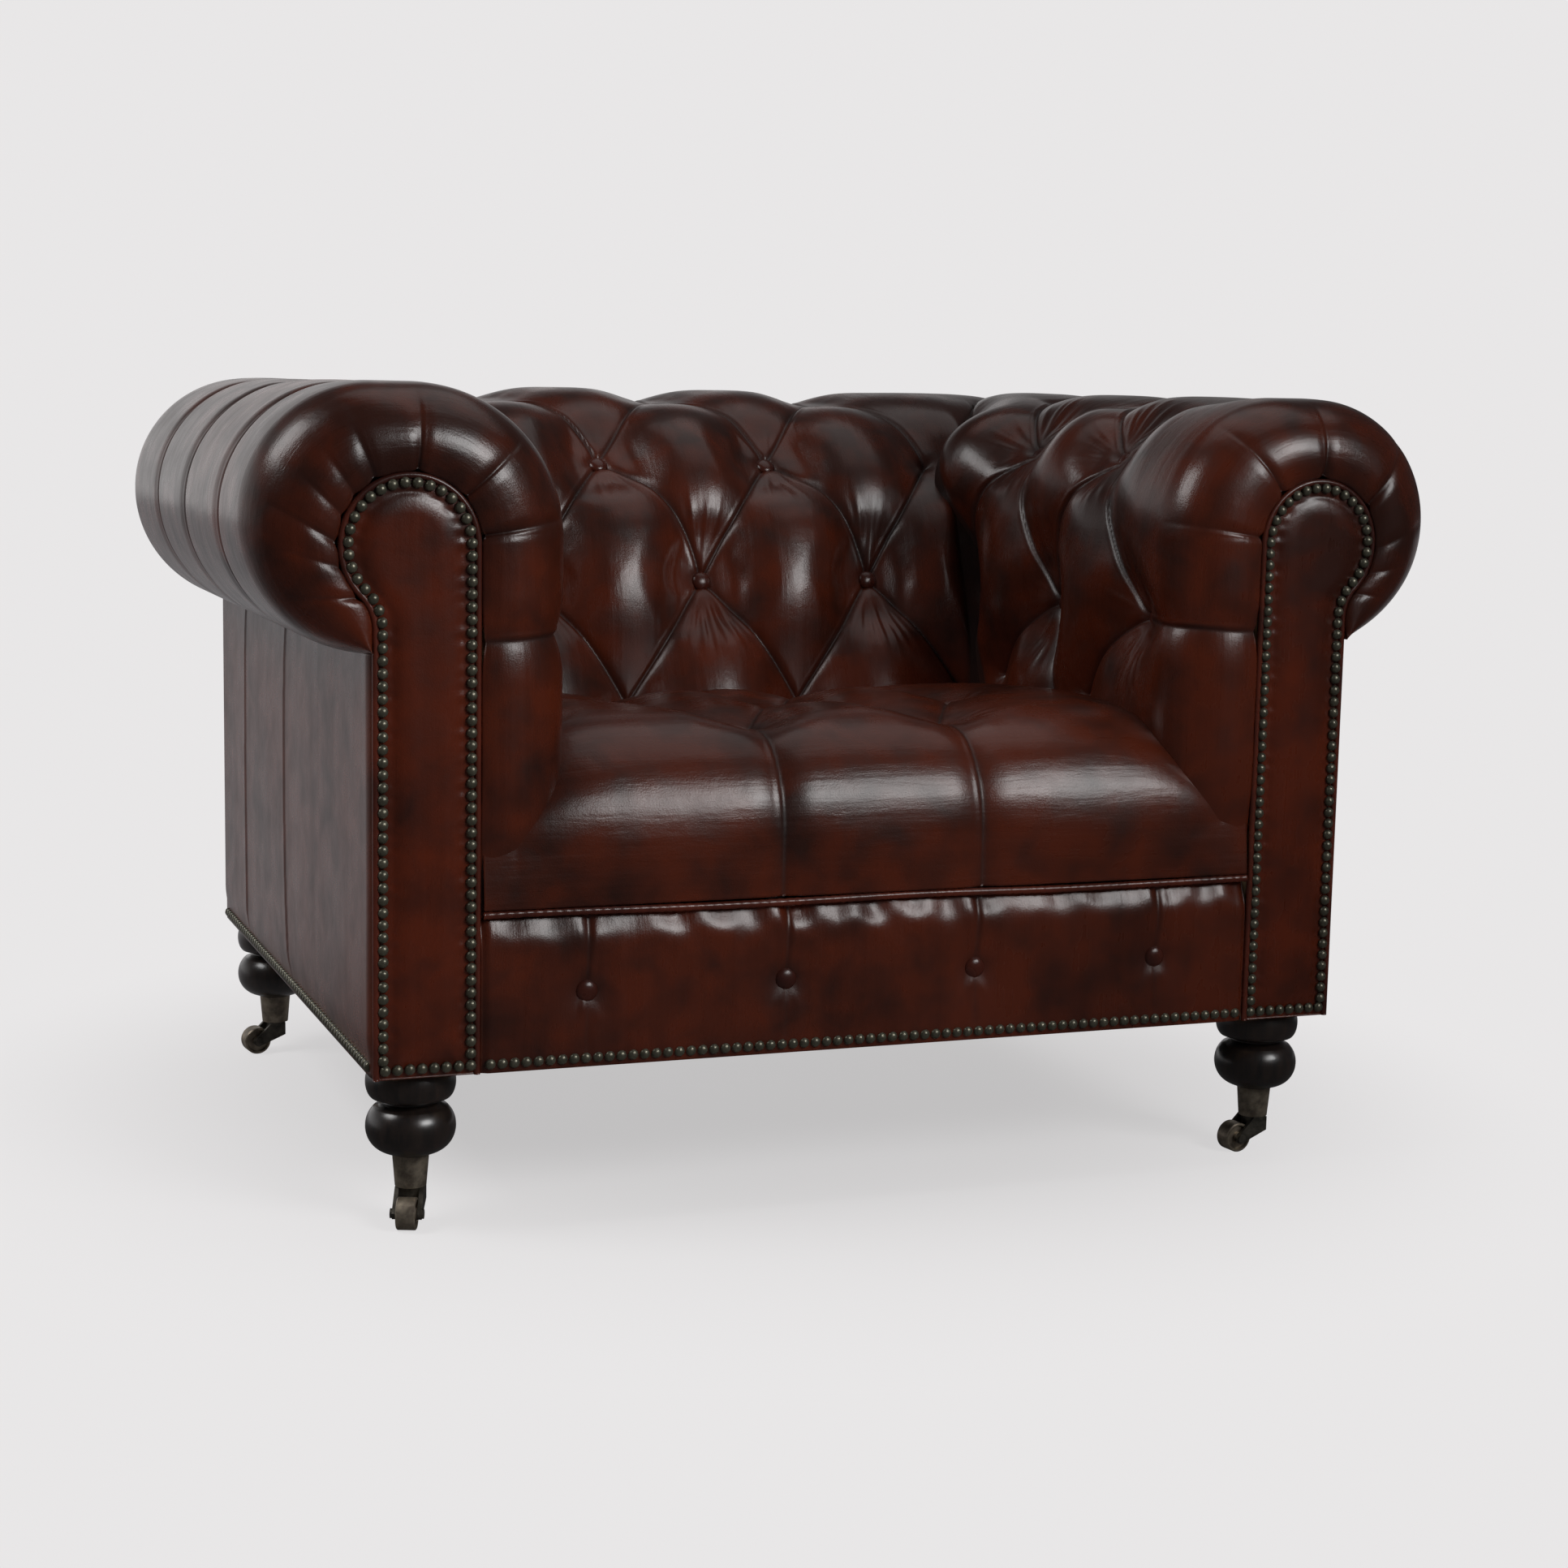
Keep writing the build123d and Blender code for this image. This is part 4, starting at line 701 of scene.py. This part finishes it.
# Border: a thin padded strip of leather under the seat, tacked along the front rail and buttoned in four places.
# A shallow upright pleat runs through each button, and the top gathers a little under the welt.
border_top, border_y, border_half = 0.2905, -0.4495, 0.3905
border_buttons = [(x, 0.2205, 0.006) for x in (-0.291, -0.097, 0.097, 0.291)]
border_pleats = []
for x, z, pit in border_buttons:
    border_pleats += [(x, z, x + 0.002, 0.286, 0.0034, 0.0030, 0.010, 0.0),
                      (x, z, x - 0.001, 0.168, 0.0034, 0.0008, 0.010, 0.0)]
border_x = np.linspace(-border_half, border_half, 392)[:, None]
border_t, border_run = np.broadcast_arrays(border_x, np.linspace(body_low, border_top, 96))
border_in, border_fold, _ = sewn_pull(border_t, border_run, border_pleats, border_buttons)
dice = np.random.default_rng(5)
gather_waves = zip(*(dice.uniform(low, high, 8) for low, high in ((35, 190), (-90, 90), (0.2, 0.5), (0, 6.3))))
gather = sum(high * np.sin(border_t * wave + border_run * slant + lag) for wave, slant, high, lag in gather_waves)
gather = gather * (0.65 + 0.35 * np.sin(border_t * 13 + 2.2))
border_in = border_in - 0.0021 * gather * smooth(0.246, 0.282, border_run)
border_in = border_in + 0.009 * smooth(0.254, 0.2960, border_run) ** 2
border_fans = [(x, z, way, 0.35, 3, 0.017, 0.0013) for x, z, pit in border_buttons for way in (-np.pi / 2, 0.9)]
border_in = border_in - fan_wrinkles(border_t, border_run, border_fans, 31)
border_in = border_in + 0.003 * smooth(0.383, border_half, np.abs(border_t))
border_in = border_in + 0.002 * smooth(0.165, body_low, border_run)
border_skin = grid_of(border_t, border_y + border_in, border_run)
border_rear = grid_of(border_x, -0.4285, [border_top, body_low])
border = lay_surface("border_cushion", np.concatenate([border_skin, border_rear], axis=1), wrap=True,
                     cover=grid_of(border_t, border_run), fold=border_fold)
fit(border, oxblood, "front_border")


# Seat welt: a leather strip sewn round a cord, laid in the seam between seat and border.
# A round section is carried along a line that waves a little, as hand sewing does.
def piped(path, radius, count):
    """Tube of a round section: each ring stands across the path, turned so that its first point lies on the -Y side."""
    run = np.gradient(path, axis=0)
    run /= np.linalg.norm(run, axis=1, keepdims=True)
    first = np.array([0, -1, 0]) + run * run[:, 1:2]
    first /= np.linalg.norm(first, axis=1, keepdims=True)
    second = np.cross(run, first)
    angle = np.linspace(0, 2 * np.pi, count, endpoint=False)
    swell = np.broadcast_to(np.asarray(radius), (len(path),))[:, None, None]
    return path[:, None] + swell * (np.cos(angle)[:, None] * first[:, None] + np.sin(angle)[:, None] * second[:, None])


welt_leather = leather("welt_leather", (0.078, 0.0150, 0.0075, 1), (0.028, 0.0065, 0.0042, 1), crinkle=0.1)
welt_x = np.linspace(-0.389, 0.389, 400)
welt_path = grid_of(welt_x, -0.4475 + 0.0007 * np.sin(welt_x * 31), 0.2945 + 0.0008 * np.sin(welt_x * 17 + 1))
welt = lay_surface("seat_piping", piped(welt_path, 0.0036 + 0.0002 * np.sin(welt_x * 700), 14), wrap=True)
fit(welt, welt_leather, "seat_welt")

# Outside arms and outside back: plain leather stretched over board from the roll down to the rails.
# Each outside arm has two upright folds where the hide was eased, a little slack between them, and a front turned in.
# Paler and greyer than the inside leather: a lit copy of the same hide, with part of the side panels' sheen painted
# into its colour.
panel_sheen_leather = leather("panel_sheen_leather", (0.080, 0.0180, 0.0085, 1), (0.032, 0.0090, 0.0052, 1), crinkle=0.15)
panel_x, panel_y, panel_top, panel_thick = 0.4885, 0.3495, 0.5330, 0.005


def panel(name, start, end, tucks, proud, seed, node, on_side):
    """Upright panel from start to end along the wall: 5 mm thick and crowned. A panel that stands proud above its nails
    turns in at its front on 60 degrees of an arc of 16 mm radius. An upright tuck has a place, how far its top and its
    foot bend away from that, and a depth; it is a sharp step out on one side and a slow return on the other."""
    run = np.linspace(start, end, int(abs(end - start) / 0.0024))[:, None]
    t, s = np.broadcast_arrays(run, np.linspace(body_low, panel_top, 96))
    crown = np.sin(np.pi * (t - start) / (end - start)) * np.sin(np.pi * (s - body_low) / (panel_top - body_low))
    rise, fold = 0.0015 * crown, np.zeros_like(t)
    for place, top_bend, foot_bend, depth in tucks:
        d = t - place - top_bend * np.exp((s - panel_top) / 0.030) - foot_bend * np.exp((body_low - s) / 0.060)
        step = np.where(d > 0, np.exp(-d / 0.030), -0.4 * np.exp(d / 0.004))
        rise = rise + depth * step * smooth(body_low, 0.20, s)
        # Painted shade: through the fold attribute, a thin dark line runs along each tuck.
        fold = np.maximum(fold, 0.45 * np.exp(-np.abs(d + 0.001) / 0.0014))
    dice = np.random.default_rng(seed)
    for wave, tilt, high in zip(dice.uniform(14, 38, 6), dice.uniform(-6, 6, 6), dice.uniform(0.0001, 0.00035, 6)):
        rise = rise + high * np.sin(t * wave + s * tilt) * smooth(body_low, 0.45, s)
    rise = (rise + proud * smooth(0.158, 0.190, s)) * smooth(0, 0.01, end - t)
    turn_in = 2 - 2 * np.sqrt(1 - np.clip((0.0139 - t + start) / 0.016, 0, 1) ** 2)
    rise = rise - (rise + 0.0048) * turn_in if proud else rise * smooth(0, 0.01, t - start)
    grid = np.concatenate([grid_of(t, rise, s), grid_of(run, -panel_thick, [panel_top, body_low])], axis=1)
    piece = lay_surface(name, on_side(*np.moveaxis(grid, -1, 0)), wrap=True, cover=0.25 * grid_of(t, s), fold=fold)
    fit(piece, panel_sheen_leather, node)


arm_tucks = ((-0.040, -0.016, -0.026, 0.0010), (0.190, -0.016, 0.0, 0.0010))
panel("left_outside_leather", -0.4440, 0.349, arm_tucks, 0.003, 7, "left_outside_arm",
      lambda t, r, s: grid_of(-panel_x - r, t, s))
panel("right_outside_leather", -0.4440, 0.349, arm_tucks, 0.003, 8, "right_outside_arm",
      lambda t, r, s: grid_of(panel_x + r, t, s))
panel("rear_outside_leather", -0.484, 0.484, (), 0.0, 9, "outside_back", lambda t, r, s: grid_of(t, panel_y + r, s))

# Facings: keyhole boards padded and covered in leather, nailed over the front ends of the arms, with a welt round each.
# Rows run across the board from edge to edge; its middle stands a little proud and the leather gathers at the nails.
facing_leather = leather("facing_leather", (0.078, 0.0122, 0.0038, 1), (0.025, 0.0054, 0.0026, 1), crinkle=0.3)
inset, facing_y, facing_rear_y = 0.0058, -0.4466, -0.4352
welt_inset, welt_y = 0.003, -0.4465
board_r = head_r - inset


def facing_sides(z):
    """Inner and outer edge of a facing at a height: straight, with the neck's hollow outside, then the round head."""
    neck = neck_r + inset
    half = np.sqrt(np.clip(board_r**2 - (z - head_z) ** 2, 1e-8, None))
    hollow = neck_x - np.sqrt(np.clip(neck**2 - (z - neck_z) ** 2, 0, None))
    meet = head_z - board_r * np.sin(neck_turn)
    outer = np.where(z < neck_z, facing_out - inset, np.where(z < meet, hollow, head_x + half))
    return np.where(z < head_z, facing_in + inset, head_x - half), outer


def keyhole_end(at, foot):
    """Length of the keyhole line at an inset from the start of its head to a foot on the outer side."""
    return (head_r - at) * (np.pi + neck_turn) + (neck_r + at) * neck_turn + neck_z - foot


board_top = head_z + board_r * np.sin(np.linspace(0.02, np.pi / 2 - 0.02, 70))
board_z = np.concatenate([np.linspace(body_low, head_z, 190), board_top])[:, None]
board_in, board_out = facing_sides(board_z)
board_half = (board_out - board_in) / 2
board_w = np.sin(np.linspace(-np.pi / 2, np.pi / 2, 44))
board_x = (board_in + board_out) / 2 + board_half * board_w
from_edge = np.minimum(board_half * (1 - np.abs(board_w)), board_z - body_low)
from_head = np.clip(board_r - np.hypot(board_x - head_x, board_z - head_z), 0, None)
from_edge = np.minimum(from_edge, from_head + 10 * (board_z < head_z))
drawn_waves = ((560, 1.0), (420, 2.0), (331, 0.4))
drawn = sum(0.5 + 0.5 * np.sin(board_z * wave + 40 * board_x + lag) for wave, lag in drawn_waves) / 3
drawn = drawn * np.exp(-((from_edge - 0.0125) / 0.0035) ** 2)
board_y = facing_y - 0.0042 * smooth(0, 0.030, from_edge) + 0.0016 * drawn
board_rear = grid_of(np.concatenate([board_out, board_in], axis=1), facing_rear_y, board_z)
board = np.concatenate([grid_of(board_x, board_y, board_z), board_rear], axis=1)
welt_q = np.linspace(-(keyhole(0)[1] - body_low), keyhole_end(welt_inset, body_low), 460)
piping_x, piping_z = keyhole(welt_q, welt_inset)
piping = grid_of(piping_x, welt_y, piping_z)
for side, word in ((1, "right"), (-1, "left")):
    flip = np.array([side, 1, 1])
    facing = lay_surface(word + "_facing_leather", board * flip, wrap=True, cover=board[..., ::2])
    fit(facing, facing_leather, word + "_facing")
    edge = lay_surface(word + "_facing_piping", piped(piping * flip, 0.0031, 12), wrap=True)
    fit(edge, welt_leather, word + "_facing_welt")


# Buttons: small domes covered in the same leather, sewn through the padding with twine so that they sit in their pits.
# A dome is rings of points round each button's own axis; the rim is drawn in under its edge.
def domes(centres, axes, profile, count):
    """Domes at centres along axes: (radius, height) pairs carried round each axis. Gives points by dome, ring and
    angle."""
    centres = np.array(centres, float)
    axes = np.array(np.broadcast_to(axes, centres.shape), float)
    axes /= np.linalg.norm(axes, axis=1, keepdims=True)
    other = np.where(np.abs(axes[:, 2:]) > 0.9, np.array([1.0, 0, 0]), np.array([0, 0, 1.0]))
    first = np.cross(axes, other)
    first /= np.linalg.norm(first, axis=1, keepdims=True)
    second = np.cross(axes, first)
    angle = np.linspace(0, 2 * np.pi, count, endpoint=False)
    radius, height = np.array(profile, float).T
    spoke = np.cos(angle)[None, :, None] * first[:, None] + np.sin(angle)[None, :, None] * second[:, None]
    return (centres[:, None, None] + radius[None, :, None, None] * spoke[:, None]
            + height[None, :, None, None] * axes[:, None, None])


def stud_mesh(name, points):
    """One mesh of many domes, each of rings of four-sided faces with a small flat face at its top and its base."""
    number, rings, count = points.shape[:3]
    index = np.arange(number * rings * count).reshape(number, rings, count)
    turned_on = np.roll(index, -1, axis=2)
    quads = np.stack([index[:, :-1], turned_on[:, :-1], turned_on[:, 1:], index[:, 1:]], axis=-1).reshape(-1, 4)
    return new_piece(name, points, quads.tolist() + index[:, -1].tolist() + index[:, 0, ::-1].tolist())


button_leather = leather("button_leather", (0.046, 0.0092, 0.0050, 1), (0.021, 0.0052, 0.0035, 1), 0.0, 0.0006)
phi = np.linspace(1.75, 0.12, 12)
button_profile = np.stack([0.0108 * np.sin(phi), 0.0012 + 0.0058 * np.clip(np.cos(phi), -0.2, 1)], axis=-1)


def rail_button(s, rail):
    """Place of a button on a section and its outward direction: how far out and how high, of each."""
    at, high, radius, slope = rail
    angle = np.pi - slope - np.clip(s, 0, radius * (np.pi / 2 - slope)) / radius
    return *rail_line(s, rail), np.cos(angle), np.sin(angle)


def arm_button(y, s):
    """Place and outward direction of a button on the right arm."""
    u, z, way_u, way_z = rail_button(s, arm_rail)
    return (u, y, z), (way_u, 0, way_z)


def back_button(x, s):
    """Place and outward direction of a button on the back."""
    v, z, way_v, way_z = rail_button(s, back_rail)
    return (x, v, z), (0, way_v, way_z)


def button_covers(node, pairs, pit):
    """Covered buttons of one CAD node from their places and directions, moved in by the depth of their pits."""
    spots, ways = np.array(pairs, float).transpose(1, 0, 2)
    covers = stud_mesh(node[:-1] + "_covers", domes(spots - ways * pit, ways, button_profile, 24))
    fit(covers, button_leather, node)


mirror = np.array([-1, 1, 1])
arm_pairs = np.array([arm_button(y, s) for y, s, pit in arm_buttons])
button_covers("arm_buttons", np.concatenate([arm_pairs, arm_pairs * mirror]), 0.0375)
button_covers("back_buttons", [back_button(x, s) for x, s, pit in back_buttons], 0.0375)
button_covers("seat_buttons", [((x, *seat_line(s)), (0, 0, 1)) for x, s, pit in seat_buttons], 0.0335)
button_covers("border_buttons", [((x, -0.449, z), (0, -1, 0)) for x, z, pit in border_buttons], 0.0065)

# Nails: domed upholstery nails of aged brass, driven head to head round the facings and along the bottom of the rails.
# Each head is a low dome of a few dozen faces, spaced evenly along the line that the nails follow.
nail_brass = metal_finish("nail_brass", (0.050, 0.050, 0.037, 1), (0.145, 0.135, 0.098, 1), (130.0, 3.0, 0.5),
                          (0.0, 1.0), (0.27, 0.40), 0.65)
nail_r, nail_pitch, nail_z, nail_y, nail_inset = 0.0051, 0.0112, 0.1588, -0.4482, 0.009
dome = np.array([1.57, 1.15, 0.72, 0.25])
nail_dome = np.stack([nail_r * np.sin(dome), 0.0004 + 0.0040 * np.cos(dome)], axis=-1)
nail_profile = np.concatenate([[(nail_r, -0.0006)], nail_dome])


def nail_row(start, end):
    """Evenly spaced points from one end of a straight row to the other."""
    start, end = np.array(start), np.array(end)
    count = round(np.linalg.norm(end - start) / nail_pitch)
    return start + (end - start) * np.linspace(0, 1, count + 1)[:, None]


nail_line = np.linspace(nail_z - head_z, keyhole_end(nail_inset, nail_z), 3000)
loop = grid_of(*keyhole(nail_line, nail_inset))
loop = np.concatenate([loop, np.linspace(loop[-1], loop[0], 400)[1:]])
travel = np.concatenate([[0], np.cumsum(np.linalg.norm(np.diff(loop, axis=0), axis=1))])
stops = np.linspace(0, travel[-1], round(travel[-1] / nail_pitch), endpoint=False)
nail_x, nail_height = np.interp(stops, travel, loop[:, 0]), np.interp(stops, travel, loop[:, 1])
facing_heads = grid_of(nail_x, nail_y, nail_height)
facing_heads = np.concatenate([facing_heads, facing_heads * mirror])
facing_domes = domes(facing_heads, (0, -1, 0), nail_profile, 10)
fit(stud_mesh("facing_nail_heads", facing_domes), nail_brass, "facing_nails")
side_heads = nail_row((panel_x, -0.426, nail_z), (panel_x, 0.336, nail_z))
rail_rows = ((nail_row((-0.382, nail_y, nail_z), (0.382, nail_y, nail_z)), (0, -1, 0)),
             (side_heads, (1, 0, 0)), (side_heads * mirror, (-1, 0, 0)),
             (nail_row((-0.480, panel_y, nail_z), (0.480, panel_y, nail_z)), (0, 1, 0)))
rail_heads = np.concatenate([domes(heads, way, nail_profile, 10) for heads, way in rail_rows])
fit(stud_mesh("rail_nail_heads", rail_heads), nail_brass, "rail_nails")

# Dust cover: thin black cloth stapled under the frame, notched round the feet, hanging a little in the middle.
# One layer of cloth, wider between the feet than beside them.
dust_cloth = woven_finish("dust_cloth", 900.0, (0.020, 0.020, 0.021, 1), (0.011, 0.011, 0.012, 1), 0.4, 0.0003)
dust_front, dust_rear, notch_front, notch_rear, notch_step = -0.414, 0.331, -0.3383, 0.2503, 0.0001
dust_rows = ((dust_front, notch_front - notch_step, 12), (notch_front + notch_step, notch_rear - notch_step, 80),
             (notch_rear + notch_step, dust_rear, 12))
dust_y = np.concatenate([np.linspace(*row) for row in dust_rows])[:, None]
dust_half = np.where((dust_y > notch_front) & (dust_y < notch_rear), 0.470, 0.3893)
dust_x = dust_half * np.linspace(-1, 1, 96)
dust_share = np.clip((dust_y - dust_front) / (dust_rear - dust_front), 0, 1)
dust_sag = 0.003 * np.cos(np.pi * dust_x / 0.95) * np.sin(np.pi * dust_share)
dust = lay_surface("dust_cover_cloth", grid_of(dust_x, dust_y, 0.1506 - dust_sag), away=(0, 0, -1))
fit(dust, dust_cloth, "dust_cover")

# Studio: a pale floor and a pale background that reflections show behind the chair and to its left, and three soft
# boxes: left, right front and overhead. The camera stands where the photograph was taken.
pale = (0.81, 0.797, 0.80, 1)
soft = {"kind": "SMOOTHSTEP"}
floor_paint, floor_tree, floor_shader = new_finish("studio_floor")
feed(floor_tree, floor_shader, Base_Color=(0.90, 0.89, 0.893, 1), Roughness=0.9, Specular_IOR_Level=0.1)
floor_glow = put(floor_tree, "Emission", Color=pale, Strength=1.0).outputs[0]
floor_spot = object_spot(floor_tree)
floor_far = put(floor_tree, "VectorMath", {"operation": "LENGTH"}, i0=floor_spot).outputs["Value"]
floor_fade = ramp(floor_tree, floor_far, 0.3, 0.95, 0.65, 1.0, **soft)
floor_rays = put(floor_tree, "LightPath").outputs
floor_seen = sums(floor_tree, "MULTIPLY", floor_fade, floor_rays["Is Camera Ray"])
floor_mix = put(floor_tree, "MixShader", i0=floor_seen, i1=floor_shader.outputs[0], i2=floor_glow).outputs[0]
floor_deep = put(floor_tree, "SeparateXYZ", Vector=floor_spot).outputs["Y"]
floor_back = ramp(floor_tree, floor_deep, -0.2, 1.2, **soft)
floor_tone = mixed(floor_tree, floor_back, (0.045, 0.044, 0.045, 1), (0.36, 0.35, 0.36, 1))
floor_mirror = put(floor_tree, "Emission", Color=floor_tone).outputs[0]
floor_mix = put(floor_tree, "MixShader", i0=floor_rays["Is Glossy Ray"], i1=floor_mix, i2=floor_mirror).outputs[0]
feed(floor_tree, floor_tree.nodes["Material Output"], Surface=floor_mix)
floor_side = np.linspace(-12, 12, 9)
floor = lay_surface("studio_floor", grid_of(floor_side[:, None], floor_side, 0.0), away=(0, 0, 1))
floor.data.materials.append(floor_paint)

world = bpy.data.worlds.new("studio_air")
bpy.context.scene.world = world
world.use_nodes = True
air = world.node_tree
rays = put(air, "LightPath").outputs
seen = sums(air, "MAXIMUM", rays["Is Camera Ray"], rays["Is Transmission Ray"])
way = put(air, "SeparateXYZ", Vector=put(air, "TexCoord").outputs["Generated"]).outputs
behind = ramp(air, way["Y"], -0.15, 0.65, **soft)
low = ramp(air, way["Z"], 0.62, 0.18, **soft)
left = ramp(air, way["X"], 0.75, 0.10, **soft)
lit = sums(air, "MULTIPLY", sums(air, "MULTIPLY", behind, low), left)
room = mixed(air, lit, (0.045, 0.045, 0.047, 1), pale)
feed(air, air.nodes["Background"], Color=mixed(air, seen, room, pale), Strength=1.0)


def stand(piece, right, up, back, place):
    """Puts a lamp or the camera at a place, with its own axes along right, up and back."""
    turn = np.eye(4)
    turn[:3] = np.stack([right, up, back, place], axis=1)
    piece.matrix_world = Matrix(turn.tolist())
    bpy.context.scene.collection.objects.link(piece)


def soft_box(name, place, aim, width, height, power, spread):
    """Rectangular lamp at a place, turned to face a point, with a grid that keeps its light within an angle in
    degrees."""
    lamp = bpy.data.lights.new(name, "AREA")
    lamp.shape, lamp.size, lamp.size_y, lamp.energy, lamp.spread = "RECTANGLE", width, height, power, np.radians(spread)
    back_way = np.array(place, float) - np.array(aim)
    back_way /= np.linalg.norm(back_way)
    side_way = np.cross([0, 0, 1.0], back_way)
    side_way /= np.linalg.norm(side_way)
    stand(bpy.data.objects.new(name, lamp), side_way, np.cross(back_way, side_way), back_way, place)


soft_box("left_soft_box", (-1.9, -0.2, 2.1), (-0.1, -0.1, 0.5), 1.0, 1.0, 14, 130)
soft_box("right_soft_box", (1.15, -2.8, 1.95), (-0.6, -0.1, 0.5), 1.6, 1.05, 9.3, 60)
soft_box("top_soft_box", (0.5, 0.1, 2.75), (0.1, -0.1, 0.5), 2.4, 1.8, 7.4, 150)

camera = bpy.data.objects.new("photo_camera", bpy.data.cameras.new("photo_camera"))
camera.data.lens, camera.data.sensor_width, camera.data.clip_start = 63.21, 36.0, 0.05
yaw, pitch, roll = 0.361183, 0.141275, 0.019278
ahead = np.array([np.sin(yaw) * np.cos(pitch), np.cos(yaw) * np.cos(pitch), -np.sin(pitch)])
level = np.array([np.cos(yaw), -np.sin(yaw), 0])
above = np.cross(level, ahead)
stand(camera, np.cos(roll) * level + np.sin(roll) * above, np.cos(roll) * above - np.sin(roll) * level, -ahead,
      (-0.9953, -2.8082, 0.7641))
bpy.context.scene.camera = camera
bpy.context.scene.view_settings.view_transform = "Standard"
